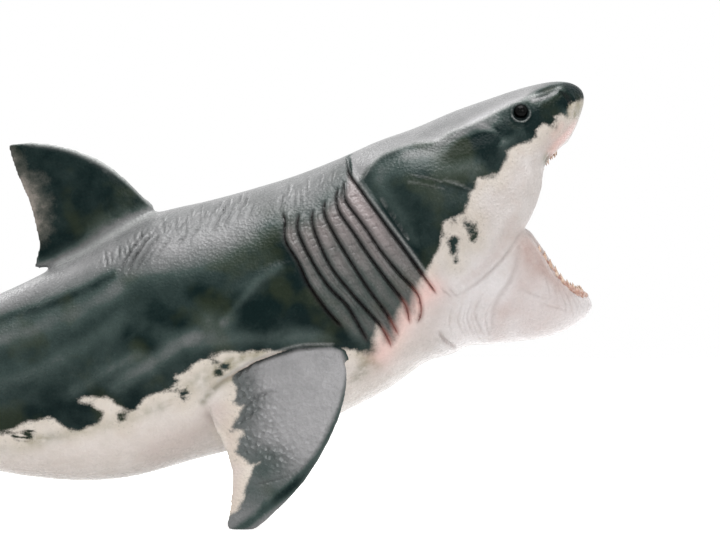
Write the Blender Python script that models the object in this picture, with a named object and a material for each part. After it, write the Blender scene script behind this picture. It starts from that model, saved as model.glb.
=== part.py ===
"""Shark figurine: a great white with its mouth wide open, moulded as one solid piece.

It stands on the tips of its two breast fins and on the lower lobe of its tail.
Lengths are in millimetres here and turn into metres when a mesh is made.
The head looks along +X, its right side faces -Y and +Z is up.
"""

import math

import bmesh
import bpy
from mathutils import Vector

MM = 0.001
NODE_NAME = "shark"

# How finely the skin is laid out.
BODY_SIDES = 34
JAW_SIDES = 28
BODY_RING_GAP = 6.6
HEAD_RING_GAP = 3.0
FINE_STEPS = 160

# Body stations, tail to snout.  Each has the back point and the belly point (x, z), the half
# width, how square the upper and the lower half are, and where between back (0) and belly (1)
# the body is widest.
TRUNK = [
    ((-97.0, 34.6), (-96.5, 25.4), 3.0, 2.0, 2.0, 0.50),
    ((-83.1, 36.3), (-82.0, 24.9), 4.7, 1.6, 1.6, 0.50),
    ((-69.8, 39.5), (-68.0, 24.6), 6.8, 1.8, 1.8, 0.52),
    ((-51.3, 45.1), (-47.8, 22.3), 10.6, 2.0, 2.0, 0.53),
    ((-30.1, 52.2), (-24.0, 17.2), 15.4, 2.0, 2.1, 0.54),
    ((-7.6, 61.2), (2.5, 12.2), 20.1, 2.0, 2.2, 0.55),
    ((12.3, 70.9), (24.2, 11.9), 24.4, 2.0, 2.2, 0.55),
    ((32.2, 81.9), (46.8, 17.8), 26.8, 2.0, 2.2, 0.55),
    ((47.6, 85.8), (71.0, 24.2), 27.6, 2.0, 2.2, 0.54),
    ((58.7, 88.8), (93.9, 34.9), 27.2, 2.0, 2.2, 0.52),
    ((71.2, 92.6), (105.4, 43.0), 26.4, 2.1, 2.4, 0.52),
    ((83.9, 97.6), (115.9, 47.6), 25.4, 2.3, 2.8, 0.52),
    ((92.6, 101.5), (118.9, 64.3), 25.0, 2.5, 4.2, 0.56),
    ((102.4, 104.9), (127.3, 71.3), 23.6, 2.6, 4.6, 0.58),
    ((112.2, 109.2), (133.0, 77.9), 21.2, 2.6, 4.6, 0.60),
    ((121.8, 112.6), (136.3, 86.3), 18.4, 2.5, 4.2, 0.60),
    ((129.7, 115.3), (137.2, 93.3), 15.6, 2.4, 3.6, 0.60),
    ((136.9, 117.1), (140.8, 98.0), 12.6, 2.3, 2.8, 0.58),
    ((141.6, 117.6), (144.0, 102.8), 9.9, 2.1, 2.4, 0.56),
    ((144.9, 117.0), (146.1, 107.2), 7.0, 2.0, 2.1, 0.54),
    ((146.8, 115.7), (147.1, 110.6), 3.7, 2.0, 2.0, 0.52),
]
REAR_GILL_STATION = 9
FRONT_GILL_STATION = 11
SNOUT_TIP = (147.7, 113.0)

# Jaw muscle: a soft swelling of the cheek below the crest of the head.
MUSCLE_STATION = 12.3
MUSCLE_REACH = 11.0
MUSCLE_DEPTH = 0.36
MUSCLE_SPREAD = 0.17
MUSCLE_HEIGHT = 1.3

# Gill slits: seven pressed creases a side, with a softly crowned strip behind each.
GILL_COUNT = 7
GILL_DEPTH = 1.5
GILL_FRONT_LIP = 1.0
GILL_REAR_LIP = 0.9
GILL_CROWN = 0.45
GILL_SPANS = [(0.26, 0.69), (0.22, 0.66), (0.23, 0.76), (0.21, 0.73), (0.19, 0.71),
              (0.18, 0.70), (0.05, 0.70)]
GILL_FADE = 0.07

# Lower jaw stations, hinge to chin, in the same order of values as the trunk.
JAW = [
    ((107.5, 66.0), (106.5, 51.5), 17.5, 3.0, 2.2, 0.50),
    ((113.0, 69.4), (112.6, 48.6), 20.6, 4.0, 2.2, 0.45),
    ((122.3, 76.3), (120.2, 47.4), 21.4, 5.0, 2.2, 0.40),
    ((130.8, 79.2), (128.1, 48.2), 20.2, 5.0, 2.2, 0.36),
    ((136.5, 72.6), (134.8, 49.0), 17.0, 5.0, 2.2, 0.36),
    ((141.6, 65.2), (140.8, 50.6), 13.2, 4.0, 2.2, 0.40),
    ((145.6, 62.3), (145.4, 52.9), 9.6, 3.0, 2.2, 0.44),
    ((148.0, 60.9), (147.9, 54.8), 6.4, 2.4, 2.2, 0.48),
]
JAW_RING_GAP = 2.6
JAW_REAR_TIP = (105.5, 59.0)
CHIN_TIP = (149.6, 58.0)

# Roof of the mouth: the hollow left inside the head, from the throat to the upper teeth.
ROOF = [
    ((109.5, 79.5), (113.5, 63.0), 12.0, 2.2, 3.0, 0.50),
    ((112.6, 87.0), (121.0, 60.5), 16.6, 2.4, 5.0, 0.55),
    ((118.6, 91.0), (129.0, 67.0), 17.6, 2.4, 6.0, 0.60),
    ((124.6, 94.6), (135.0, 73.5), 16.8, 2.4, 6.0, 0.60),
    ((129.6, 97.4), (138.6, 81.0), 14.8, 2.4, 6.0, 0.60),
    ((133.4, 99.8), (140.6, 87.0), 12.0, 2.3, 5.0, 0.60),
    ((136.6, 101.2), (143.0, 91.5), 8.9, 2.2, 4.0, 0.60),
    ((138.8, 101.8), (146.0, 94.5), 5.6, 2.1, 3.0, 0.60),
]
ROOF_THROAT_TIP = (106.5, 71.0)
ROOF_FRONT_TIP = (142.8, 98.6)

# Floor of the mouth: the hollow left inside the lower jaw.
FLOOR = [
    ((109.5, 74.5), (109.5, 62.0), 8.0, 2.4, 2.2, 0.50),
    ((113.5, 81.0), (113.0, 57.5), 11.6, 2.6, 2.2, 0.45),
    ((121.5, 87.0), (120.6, 54.8), 14.0, 3.0, 2.4, 0.50),
    ((129.4, 87.0), (128.6, 54.2), 14.0, 3.0, 2.4, 0.55),
    ((135.4, 81.0), (135.0, 54.8), 12.2, 3.0, 2.4, 0.62),
    ((139.8, 75.0), (139.6, 55.8), 9.4, 3.0, 2.4, 0.66),
    ((142.8, 71.5), (142.6, 57.4), 6.2, 2.6, 2.4, 0.68),
]
FLOOR_THROAT_TIP = (107.5, 68.0)
FLOOR_FRONT_TIP = (144.4, 64.4)
HOLLOW_SIDES = 28
HOLLOW_RING_GAP = 4.2

# Back fin.  Along its base from front to rear, and height square to the base.
BACK_FIN_FRONT = (33.0, 83.7)
BACK_FIN_REAR = (6.2, 68.9)
BACK_FIN_LEADING = [(-4.0, 1.6), (0.0, -0.6), (3.0, 0.2), (7.2, 1.5), (16.8, 5.2),
                    (24.6, 11.5), (30.5, 18.9), (32.7, 24.0)]
BACK_FIN_TRAILING = [(-4.0, 29.0), (-0.8, 30.6), (0.3, 34.0), (1.4, 35.2), (3.2, 33.8),
                     (5.6, 31.4), (9.0, 30.2), (16.3, 28.2), (24.3, 27.4), (30.3, 26.4),
                     (32.7, 25.8)]
BACK_FIN_TOP = 32.7
BACK_FIN_THICK_ROOT = 5.2
BACK_FIN_THICK_LOWER = 3.9
BACK_FIN_THICK_TIP = 1.5

# Breast fins, which hang down and outwards and carry the front of the body.
BREAST_FIN_FRONT = (83.9, 45.6)
BREAST_FIN_REAR = (46.8, 33.4)
BREAST_FIN_ROOT_Y = 23.6
BREAST_FIN_SPREAD_DEG = 19.5
BREAST_FIN_LEADING = [(-5.0, 1.5), (0.0, 0.0), (7.8, 1.3), (18.5, 7.7), (30.5, 20.4),
                      (36.9, 32.4), (39.1, 38.6)]
BREAST_FIN_TRAILING = [(-5.0, 31.0), (-1.5, 36.2), (1.5, 38.7), (12.6, 38.2), (19.3, 37.5),
                       (25.5, 39.2), (31.4, 41.6), (35.7, 43.8), (39.1, 43.4)]
BREAST_FIN_LENGTH = 41.7
BREAST_FIN_THICK_ROOT = 6.4
BREAST_FIN_THICK_UPPER = 5.1
BREAST_FIN_THICK_TIP = 1.9

# Tail fin, upright behind the body.  Heights are real heights above the ground.
TAIL_LOW = -3.0
TAIL_HIGH = 77.4
TAIL_LEADING = [(-3.0, -134.6), (6.0, -126.0), (14.0, -114.5), (21.0, -102.5), (27.0, -93.5),
                (33.0, -92.5), (40.0, -101.5), (50.0, -115.0), (62.0, -130.0),
                (72.0, -142.5), (77.4, -147.4)]
TAIL_TRAILING = [(-3.0, -140.6), (2.0, -140.1), (10.0, -132.0), (20.0, -121.0),
                 (30.0, -114.2), (38.0, -117.2), (48.0, -125.0), (60.0, -137.6),
                 (70.0, -146.8), (77.4, -149.8)]
TAIL_THICK_ROOT = 5.4
TAIL_THICK_TIP = 1.5

# Small fins: base from front to rear (x, z), then height and how far the tip is swept back.
SECOND_BACK_FIN_BASE = ((-57.0, 42.6), (-65.0, 40.2))
SECOND_BACK_FIN_HEIGHT = 6.4
SECOND_BACK_FIN_SWEEP = 9.5
UNDER_TAIL_FIN_BASE = ((-60.5, 23.2), (-68.5, 24.2))
UNDER_TAIL_FIN_HEIGHT = 6.4
UNDER_TAIL_FIN_SWEEP = 9.5
BELLY_FIN_BASE = ((-21.5, 19.0), (-35.5, 20.6))
BELLY_FIN_ROOT_Y = 6.5
BELLY_FIN_HEIGHT = 11.0
BELLY_FIN_SWEEP = 15.0
BELLY_FIN_SPREAD_DEG = 52.0
SMALL_FIN_THICK = 2.8
SMALL_FIN_SINK = 3.0

# Eyes and nostrils, by their places on the side of the head.
EYE_PLACE = (130.2, 109.2)
EYE_RADIUS = 2.3
EYE_PROUD = 0.55
NOSTRIL_PLACE = (144.4, 112.2)
NOSTRIL_HALF_LENGTH = 1.8
NOSTRIL_HALF_WIDTH = 0.5
NOSTRIL_DEPTH = 0.8

# Teeth.  Each gum line runs from the corner of the mouth to the middle: place (x, z), half
# width there, and the way the teeth point (x, z).
UPPER_GUM = [((129.2, 81.8), 16.5, (0.60, -0.80)), ((131.6, 86.0), 15.1, (0.56, -0.83)),
             ((133.2, 90.0), 13.6, (0.50, -0.87)), ((136.0, 95.8), 10.2, (0.36, -0.93)),
             ((138.6, 98.9), 5.7, (0.22, -0.98)), ((139.6, 99.9), 0.0, (0.18, -0.98))]
LOWER_GUM = [((134.0, 74.2), 15.9, (0.10, 0.99)), ((137.4, 69.4), 14.0, (0.05, 1.0)),
             ((140.4, 65.2), 12.0, (-0.10, 0.99)), ((143.8, 62.3), 9.2, (-0.20, 0.98)),
             ((146.2, 61.2), 5.4, (-0.28, 0.96)), ((147.0, 60.8), 0.0, (-0.30, 0.95))]
UPPER_TEETH = 20
UPPER_TOOTH_LENGTH = 1.8
UPPER_TOOTH_WIDTH = 2.2
LOWER_TEETH = 20
LOWER_TOOTH_LENGTH = 2.0
LOWER_TOOTH_WIDTH = 1.6
CORNER_TOOTH_SIZE = 0.62
TOOTH_THICKNESS = 1.4
TOOTH_SINK = 1.6

# The three resting places are ground flat at this height.
GROUND_Z = 0.0
GROUND_BLOCK = (340.0, 140.0, 30.0)

SKIN_COLOUR = (0.115, 0.128, 0.125, 1.0)
SKIN_ROUGHNESS = 0.42


def clear_scene():
    """Start from an empty scene."""
    for item in list(bpy.data.objects):
        bpy.data.objects.remove(item, do_unlink=True)


def painted_skin():
    """The figurine's satin paint."""
    skin = bpy.data.materials.new("painted_skin")
    skin.use_nodes = True
    shader = skin.node_tree.nodes["Principled BSDF"]
    shader.inputs["Base Color"].default_value = SKIN_COLOUR
    shader.inputs["Roughness"].default_value = SKIN_ROUGHNESS
    shader.inputs["Metallic"].default_value = 0.0
    return skin


def eased(points, at):
    """A smooth curve through (position, value) points, read at one position."""
    last = len(points) - 1
    if at <= points[0][0]:
        return points[0][1]
    if at >= points[last][0]:
        return points[last][1]
    index = 0
    while points[index + 1][0] < at:
        index += 1
    before = points[max(index - 1, 0)]
    start = points[index]
    end = points[index + 1]
    after = points[min(index + 2, last)]
    span = end[0] - start[0]
    share = (at - start[0]) / span
    slope_in = (end[1] - before[1]) / (end[0] - before[0]) * span
    slope_out = (after[1] - start[1]) / (after[0] - start[0]) * span
    square = share * share
    cube = square * share
    return ((2.0 * cube - 3.0 * square + 1.0) * start[1] + (cube - 2.0 * square + share) * slope_in
            + (3.0 * square - 2.0 * cube) * end[1] + (cube - square) * slope_out)


def flat_station(station):
    """One station as a plain list of eight numbers."""
    back, belly, half_width, upper, lower, widest = station
    return [back[0], back[1], belly[0], belly[1], half_width, upper, lower, widest]


def station_places(stations):
    """Distance run from the first station to each, halfway between back and belly."""
    places = [0.0]
    for before, after in zip(stations, stations[1:]):
        step_x = (after[0][0] + after[1][0] - before[0][0] - before[1][0]) / 2.0
        step_z = (after[0][1] + after[1][1] - before[0][1] - before[1][1]) / 2.0
        places.append(places[-1] + math.hypot(step_x, step_z))
    return places


def station_between(stations, at):
    """The body's section at a distance from the first station."""
    places = station_places(stations)
    columns = zip(*[flat_station(station) for station in stations])
    return [eased(list(zip(places, column)), at) for column in columns]


def half_outline(section):
    """Points down one side of a section, from back to belly: (share of depth, outward)."""
    half_width, upper, lower, widest = section[4:8]
    points = []
    for step in range(FINE_STEPS + 1):
        turn = math.pi * step / FINE_STEPS
        rise = math.cos(turn)
        reach = math.sin(turn)
        power = upper if rise >= 0.0 else lower
        side = widest if rise >= 0.0 else 1.0 - widest
        depth = widest - math.copysign(abs(rise) ** (2.0 / power), rise) * side
        points.append((depth, half_width * max(reach, 0.0) ** (2.0 / power)))
    return points


def evenly_spaced(points, count, long_side):
    """The same outline with its points an equal distance apart along it."""
    runs = [0.0]
    for before, after in zip(points, points[1:]):
        step = math.hypot((after[0] - before[0]) * long_side, after[1] - before[1])
        runs.append(runs[-1] + step)
    spaced = [points[0]]
    index = 0
    for step in range(1, count):
        target = runs[-1] * step / count
        while runs[index + 1] < target:
            index += 1
        share = (target - runs[index]) / (runs[index + 1] - runs[index])
        start = points[index]
        end = points[index + 1]
        spaced.append((start[0] + (end[0] - start[0]) * share, start[1] + (end[1] - start[1]) * share))
    spaced.append(points[-1])
    return spaced


def section_ring(section, sides, press=None):
    """A closed ring of points round one section, starting at the back, right side first."""
    back = Vector((section[0], 0.0, section[1]))
    belly = Vector((section[2], 0.0, section[3]))
    line = belly - back
    middle = back + line * section[7]
    side = evenly_spaced(half_outline(section), sides // 2, line.length)
    right = []
    for depth, outward in side:
        point = back + line * depth + Vector((0.0, -outward, 0.0))
        if press is not None:
            inward = (middle - point).normalized()
            point = point + inward * press(depth)
        right.append(point)
    left = [Vector((point.x, -point.y, point.z)) for point in right[-2:0:-1]]
    return right + left


def capped_mesh(name, rings, start_tip, end_tip):
    """A closed skin over rings of points, drawn to a tip at each end."""
    shape = bmesh.new()
    rows = [[shape.verts.new(point * MM) for point in ring] for ring in rings]
    count = len(rows[0])
    for before, after in zip(rows, rows[1:]):
        for index in range(count):
            following = (index + 1) % count
            shape.faces.new((before[index], before[following], after[following], after[index]))
    for row, tip, flip in ((rows[0], start_tip, True), (rows[-1], end_tip, False)):
        peak = shape.verts.new(tip * MM)
        for index in range(count):
            following = (index + 1) % count
            corner = (row[index], row[following], peak)
            shape.faces.new(corner[::-1] if flip else corner)
    bmesh.ops.recalc_face_normals(shape, faces=shape.faces)
    mesh = bpy.data.meshes.new(name)
    shape.to_mesh(mesh)
    shape.free()
    for face in mesh.polygons:
        face.use_smooth = True
    return mesh


def even_places(start, end, gap):
    """Places from start to end with about the given gap between them."""
    count = max(1, round((end - start) / gap))
    return [start + (end - start) * step / count for step in range(count + 1)]


def rounded_end(ring, tip, shares):
    """Rings that shrink along a quarter round from an end ring towards its tip."""
    middle = sum(ring, Vector()) / len(ring)
    rings = []
    for share in shares:
        scale = math.sqrt(1.0 - share * share)
        centre = middle.lerp(tip, share)
        rings.append([centre + (point - middle) * scale for point in ring])
    return rings


def tip_point(place):
    """A tip on the centre plane."""
    return Vector((place[0], 0.0, place[1]))


def loft(name, stations, sides, gap, start_tip, end_tip):
    """A closed form over evenly spaced sections, with both ends rounded off."""
    places = station_places(stations)
    rings = []
    for place in even_places(0.0, places[-1], gap):
        rings.append(section_ring(station_between(stations, place), sides))
    start = rounded_end(rings[0], tip_point(start_tip), (0.85, 0.5))
    end = rounded_end(rings[-1], tip_point(end_tip), (0.5, 0.85))
    return capped_mesh(name, start + rings + end, tip_point(start_tip), tip_point(end_tip))


def gill_press(index, strength):
    """How far a gill ring is pushed in at each depth, fading out at the slit's ends."""
    top, bottom = GILL_SPANS[index]

    def press(depth):
        rise = min(max((depth - top) / GILL_FADE + 0.5, 0.0), 1.0)
        fall = min(max((bottom - depth) / GILL_FADE + 0.5, 0.0), 1.0)
        window = min(rise, fall)
        return strength * window * window * (3.0 - 2.0 * window)

    return press


def muscle_press(place, centre):
    """How far a ring of the head swells outwards at each depth over the jaw muscle."""
    along = math.exp(-((place - centre) / MUSCLE_REACH) ** 2)

    def press(depth):
        across = math.exp(-((depth - MUSCLE_DEPTH) / MUSCLE_SPREAD) ** 2)
        return -MUSCLE_HEIGHT * along * across

    return press


def body_rings():
    """Every ring of the trunk and head, with the gill slits pressed in."""
    places = station_places(TRUNK)
    rear_gill = places[REAR_GILL_STATION]
    front_gill = places[FRONT_GILL_STATION]
    spacing = (front_gill - rear_gill) / (GILL_COUNT - 1)
    rings = []
    for place in even_places(0.0, rear_gill - spacing * 0.5, BODY_RING_GAP):
        rings.append(section_ring(station_between(TRUNK, place), BODY_SIDES))
    for index in range(GILL_COUNT):
        slit = rear_gill + spacing * index
        steps = ((-GILL_REAR_LIP, -GILL_CROWN), (0.0, GILL_DEPTH), (GILL_FRONT_LIP, -GILL_CROWN * 0.4))
        for offset, strength in steps:
            section = station_between(TRUNK, slit + offset)
            rings.append(section_ring(section, BODY_SIDES, gill_press(index, strength)))
        middle = station_between(TRUNK, slit + spacing * 0.5)
        rings.append(section_ring(middle, BODY_SIDES, gill_press(index, -GILL_CROWN)))
    start = front_gill + spacing * 0.5
    muscle = eased(list(enumerate(places)), MUSCLE_STATION)
    for place in even_places(start, places[-1], HEAD_RING_GAP)[1:]:
        press = muscle_press(place, muscle)
        rings.append(section_ring(station_between(TRUNK, place), BODY_SIDES, press))
    return rings


def trunk_mesh():
    """Trunk and head in one skin, from the tail root to the snout."""
    rings = body_rings()
    snout = tip_point(SNOUT_TIP)
    nose = rounded_end(rings[-1], snout, (0.35, 0.65, 0.88))
    root = sum(rings[0], Vector()) / len(rings[0])
    return capped_mesh("trunk", rings + nose, root, snout)


def side_of_body(stations, x, z):
    """How far out the skin is at a place seen from the side, found by halving the search."""
    places = station_places(stations)
    low = 0.0
    high = places[-1]
    for _ in range(40):
        middle = (low + high) / 2.0
        section = station_between(stations, middle)
        line_x = section[2] - section[0]
        line_z = section[3] - section[1]
        ahead = line_x * (z - section[1]) - line_z * (x - section[0])
        if ahead > 0.0:
            low = middle
        else:
            high = middle
    section = station_between(stations, low)
    depth = (z - section[1]) / (section[3] - section[1])
    half_width, upper, lower, widest = section[4:8]
    if depth < widest:
        share = (widest - depth) / widest
        power = upper
    else:
        share = (depth - widest) / (1.0 - widest)
        power = lower
    share = min(max(share, 0.0), 1.0)
    return half_width * (1.0 - share ** power) ** (1.0 / power)


def fin_section(leading, trailing, thick, along, height, out, origin):
    """A rounded lens round one level of a fin, thickest a third of the way back."""
    stops = (0.0, 0.04, 0.14, 0.32, 0.56, 0.80, 0.96, 1.0)
    bulge = (0.0, 0.42, 0.80, 1.0, 0.86, 0.52, 0.24, 0.0)
    base = origin + height
    one_side = []
    for stop, share in zip(stops, bulge):
        run = leading + (trailing - leading) * stop
        one_side.append((base + along * run, share * thick / 2.0))
    near = [place + out * offset for place, offset in one_side]
    far = [place - out * offset for place, offset in one_side[-2:0:-1]]
    return near + far


def fin_mesh(name, leading, trailing, levels, thick, frame):
    """A fin drawn level by level from its sunk root to its rounded tip."""
    origin, along, rise, out = frame
    rings = []
    for level in levels:
        front = eased(leading, level)
        rear = eased(trailing, level)
        rings.append(fin_section(front, rear, eased(thick, level), along, rise * level, out, origin))
    start = sum(rings[0], Vector()) / len(rings[0])
    end = sum(rings[-1], Vector()) / len(rings[-1]) + rise * (thick[-1][1] * 0.35)
    return capped_mesh(name, rings, start, end)


def base_frame(front, rear, root_y, spread_deg, downwards):
    """Origin, base line, rising line and thickness line of a fin on the right side."""
    along = Vector((rear[0] - front[0], 0.0, rear[1] - front[1])).normalized()
    square = Vector((along.z, 0.0, -along.x))
    if downwards:
        square = -square
    spread = math.radians(spread_deg)
    rise = square * math.cos(spread) + Vector((0.0, -math.sin(spread), 0.0))
    out = rise.cross(along).normalized()
    return Vector((front[0], -root_y, front[1])), along, rise, out


def mirrored(mesh, name):
    """The left twin of a right-hand mesh."""
    twin = mesh.copy()
    twin.name = name
    shape = bmesh.new()
    shape.from_mesh(twin)
    bmesh.ops.scale(shape, vec=(1.0, -1.0, 1.0), verts=shape.verts)
    bmesh.ops.reverse_faces(shape, faces=shape.faces)
    shape.to_mesh(twin)
    shape.free()
    return twin


def back_fin_mesh():
    """The tall fin on the back."""
    frame = base_frame(BACK_FIN_FRONT, BACK_FIN_REAR, 0.0, 0.0, False)
    levels = [-4.0, -0.8, 0.3, 1.4, 3.2, 5.6, 9.0, 14.0, 19.0, 24.0, 28.0, 31.0, BACK_FIN_TOP]
    thick = [(-4.0, BACK_FIN_THICK_ROOT), (7.4, BACK_FIN_THICK_LOWER), (BACK_FIN_TOP, BACK_FIN_THICK_TIP)]
    return fin_mesh("back_fin", BACK_FIN_LEADING, BACK_FIN_TRAILING, levels, thick, frame)


def breast_fin_mesh():
    """The right breast fin."""
    frame = base_frame(BREAST_FIN_FRONT, BREAST_FIN_REAR, BREAST_FIN_ROOT_Y, BREAST_FIN_SPREAD_DEG, True)
    levels = [-5.0, -1.5, 1.5, 4.5, 8.0, 12.1, 16.5, 21.3, 26.2, 30.5, 33.9, 36.9, 39.1, BREAST_FIN_LENGTH]
    thick = [(-5.0, BREAST_FIN_THICK_ROOT), (7.8, BREAST_FIN_THICK_UPPER),
             (BREAST_FIN_LENGTH, BREAST_FIN_THICK_TIP)]
    return fin_mesh("breast_fin_right", BREAST_FIN_LEADING, BREAST_FIN_TRAILING, levels, thick, frame)


def tail_fin_mesh():
    """The crescent tail, drawn upwards from the lower lobe to the upper one."""
    frame = (Vector(), Vector((1.0, 0.0, 0.0)), Vector((0.0, 0.0, 1.0)), Vector((0.0, 1.0, 0.0)))
    levels = [TAIL_LOW, 2.0, 7.0, 12.0, 17.0, 21.0, 25.0, 29.0, 33.0, 37.0, 42.0, 48.0, 54.0, 60.0,
              66.0, 71.0, 75.0, TAIL_HIGH]
    thick = [(TAIL_LOW, TAIL_THICK_TIP), (14.0, TAIL_THICK_TIP * 1.7), (26.0, TAIL_THICK_ROOT),
             (34.0, TAIL_THICK_ROOT), (48.0, TAIL_THICK_TIP * 1.9), (TAIL_HIGH, TAIL_THICK_TIP)]
    return fin_mesh("tail_fin", TAIL_LEADING, TAIL_TRAILING, levels, thick, frame)


def small_fin_mesh(name, base, height, sweep, root_y, spread_deg, downwards):
    """A small swept fin with a short free rear corner."""
    front, rear = base
    chord = math.hypot(rear[0] - front[0], rear[1] - front[1])
    frame = base_frame(front, rear, root_y, spread_deg, downwards)
    leading = [(-SMALL_FIN_SINK, -0.5), (0.0, 0.0), (height * 0.6, sweep * 0.5), (height, sweep)]
    trailing = [(-SMALL_FIN_SINK, chord), (0.0, chord), (height * 0.15, chord + sweep * 0.35),
                (height * 0.4, chord + sweep * 0.12), (height, sweep + chord * 0.3)]
    levels = [-SMALL_FIN_SINK, 0.0, height * 0.15, height * 0.4, height * 0.7, height * 0.9, height]
    thick = [(-SMALL_FIN_SINK, SMALL_FIN_THICK), (height, SMALL_FIN_THICK * 0.4)]
    return fin_mesh(name, leading, trailing, levels, thick, frame)


def ball_mesh(name, centre, radii, turn_deg, segments, rows):
    """A ball stretched to three radii and turned about the side-to-side axis."""
    shape = bmesh.new()
    bmesh.ops.create_uvsphere(shape, u_segments=segments, v_segments=rows, radius=1.0)
    bmesh.ops.scale(shape, vec=Vector(radii) * MM, verts=shape.verts)
    turn = math.radians(turn_deg)
    for corner in shape.verts:
        x = corner.co.x
        z = corner.co.z
        corner.co.x = x * math.cos(turn) - z * math.sin(turn)
        corner.co.z = x * math.sin(turn) + z * math.cos(turn)
    bmesh.ops.translate(shape, vec=centre * MM, verts=shape.verts)
    mesh = bpy.data.meshes.new(name)
    shape.to_mesh(mesh)
    shape.free()
    for face in mesh.polygons:
        face.use_smooth = True
    return mesh


def eye_mesh():
    """The right eye, standing a little proud of the head."""
    x, z = EYE_PLACE
    skin = side_of_body(TRUNK, x, z)
    centre = Vector((x, -(skin + EYE_PROUD - EYE_RADIUS), z))
    return ball_mesh("eye_right", centre, (EYE_RADIUS, EYE_RADIUS, EYE_RADIUS), 0.0, 14, 10)


def nostril_mesh():
    """The hollow of the right nostril."""
    x, z = NOSTRIL_PLACE
    skin = side_of_body(TRUNK, x, z)
    centre = Vector((x, -skin, z))
    radii = (NOSTRIL_HALF_LENGTH, NOSTRIL_DEPTH, NOSTRIL_HALF_WIDTH)
    return ball_mesh("nostril_right", centre, radii, -65.0, 10, 6)


def tooth(shape, root, outward, point_way, width, length):
    """One pointed tooth: a four-sided blade with its root sunk in the gum."""
    across = outward.cross(point_way).normalized()
    base = root - point_way * TOOTH_SINK
    corners = []
    for step_across, step_out in ((-1, -1), (1, -1), (1, 1), (-1, 1)):
        place = base + across * (width / 2.0 * step_across) + outward * (TOOTH_THICKNESS / 2.0 * step_out)
        corners.append(shape.verts.new(place * MM))
    peak = shape.verts.new((root + point_way * length) * MM)
    shape.faces.new(corners)
    for index in range(4):
        shape.faces.new((corners[index], corners[(index + 1) % 4], peak))


def arch_teeth(name, gum, count, width, length):
    """A row of teeth round one gum, evenly spaced and smaller towards the corners."""
    stops = range(len(gum))
    columns = [
        [station[0][0] for station in gum],
        [station[1] for station in gum],
        [station[0][1] for station in gum],
        [station[2][0] for station in gum],
        [station[2][1] for station in gum],
    ]
    curves = [list(zip(stops, column)) for column in columns]
    path = []
    for step in range(FINE_STEPS + 1):
        at = (len(gum) - 1) * step / FINE_STEPS
        path.append([eased(curve, at) for curve in curves])
    runs = [0.0]
    for before, after in zip(path, path[1:]):
        runs.append(runs[-1] + math.dist(before[:3], after[:3]))
    shape = bmesh.new()
    per_side = count // 2
    for number in range(per_side):
        target = runs[-1] * (number + 0.5) / per_side
        index = min(range(len(runs)), key=lambda spot: abs(runs[spot] - target))
        here = path[index]
        behind = path[max(index - 2, 0)]
        middle_share = math.sin(math.pi / 2.0 * (number + 1.0) / per_side)
        size = CORNER_TOOTH_SIZE + (1.0 - CORNER_TOOTH_SIZE) * middle_share
        for side in (-1.0, 1.0):
            place = Vector((here[0], here[1] * side, here[2]))
            before = Vector((behind[0], behind[1] * side, behind[2]))
            point_way = Vector((here[3], 0.0, here[4])).normalized()
            outward = (place - before).cross(point_way).normalized()
            tooth(shape, place, outward, point_way, width * size, length * size)
    bmesh.ops.recalc_face_normals(shape, faces=shape.faces)
    mesh = bpy.data.meshes.new(name)
    shape.to_mesh(mesh)
    shape.free()
    return mesh


def add_object(mesh, collection, skin):
    """Put a mesh in the scene under its own name."""
    item = bpy.data.objects.new(mesh.name, mesh)
    item.data.materials.append(skin)
    collection.objects.link(item)
    return item


def combine(body, tool, operation):
    """Join a form to the body, or cut it away, by an exact boolean."""
    step = body.modifiers.new(f"{operation.lower()}_{tool.name}", "BOOLEAN")
    step.operation = operation
    step.solver = "EXACT"
    step.object = tool


def ground_block_mesh():
    """A block under the ground that trims the three resting tips flat."""
    shape = bmesh.new()
    bmesh.ops.create_cube(shape, size=1.0)
    bmesh.ops.scale(shape, vec=Vector(GROUND_BLOCK) * MM, verts=shape.verts)
    drop = Vector((0.0, 0.0, (GROUND_Z - GROUND_BLOCK[2] / 2.0) * MM))
    bmesh.ops.translate(shape, vec=drop, verts=shape.verts)
    mesh = bpy.data.meshes.new("ground_block")
    shape.to_mesh(mesh)
    shape.free()
    return mesh


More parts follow.
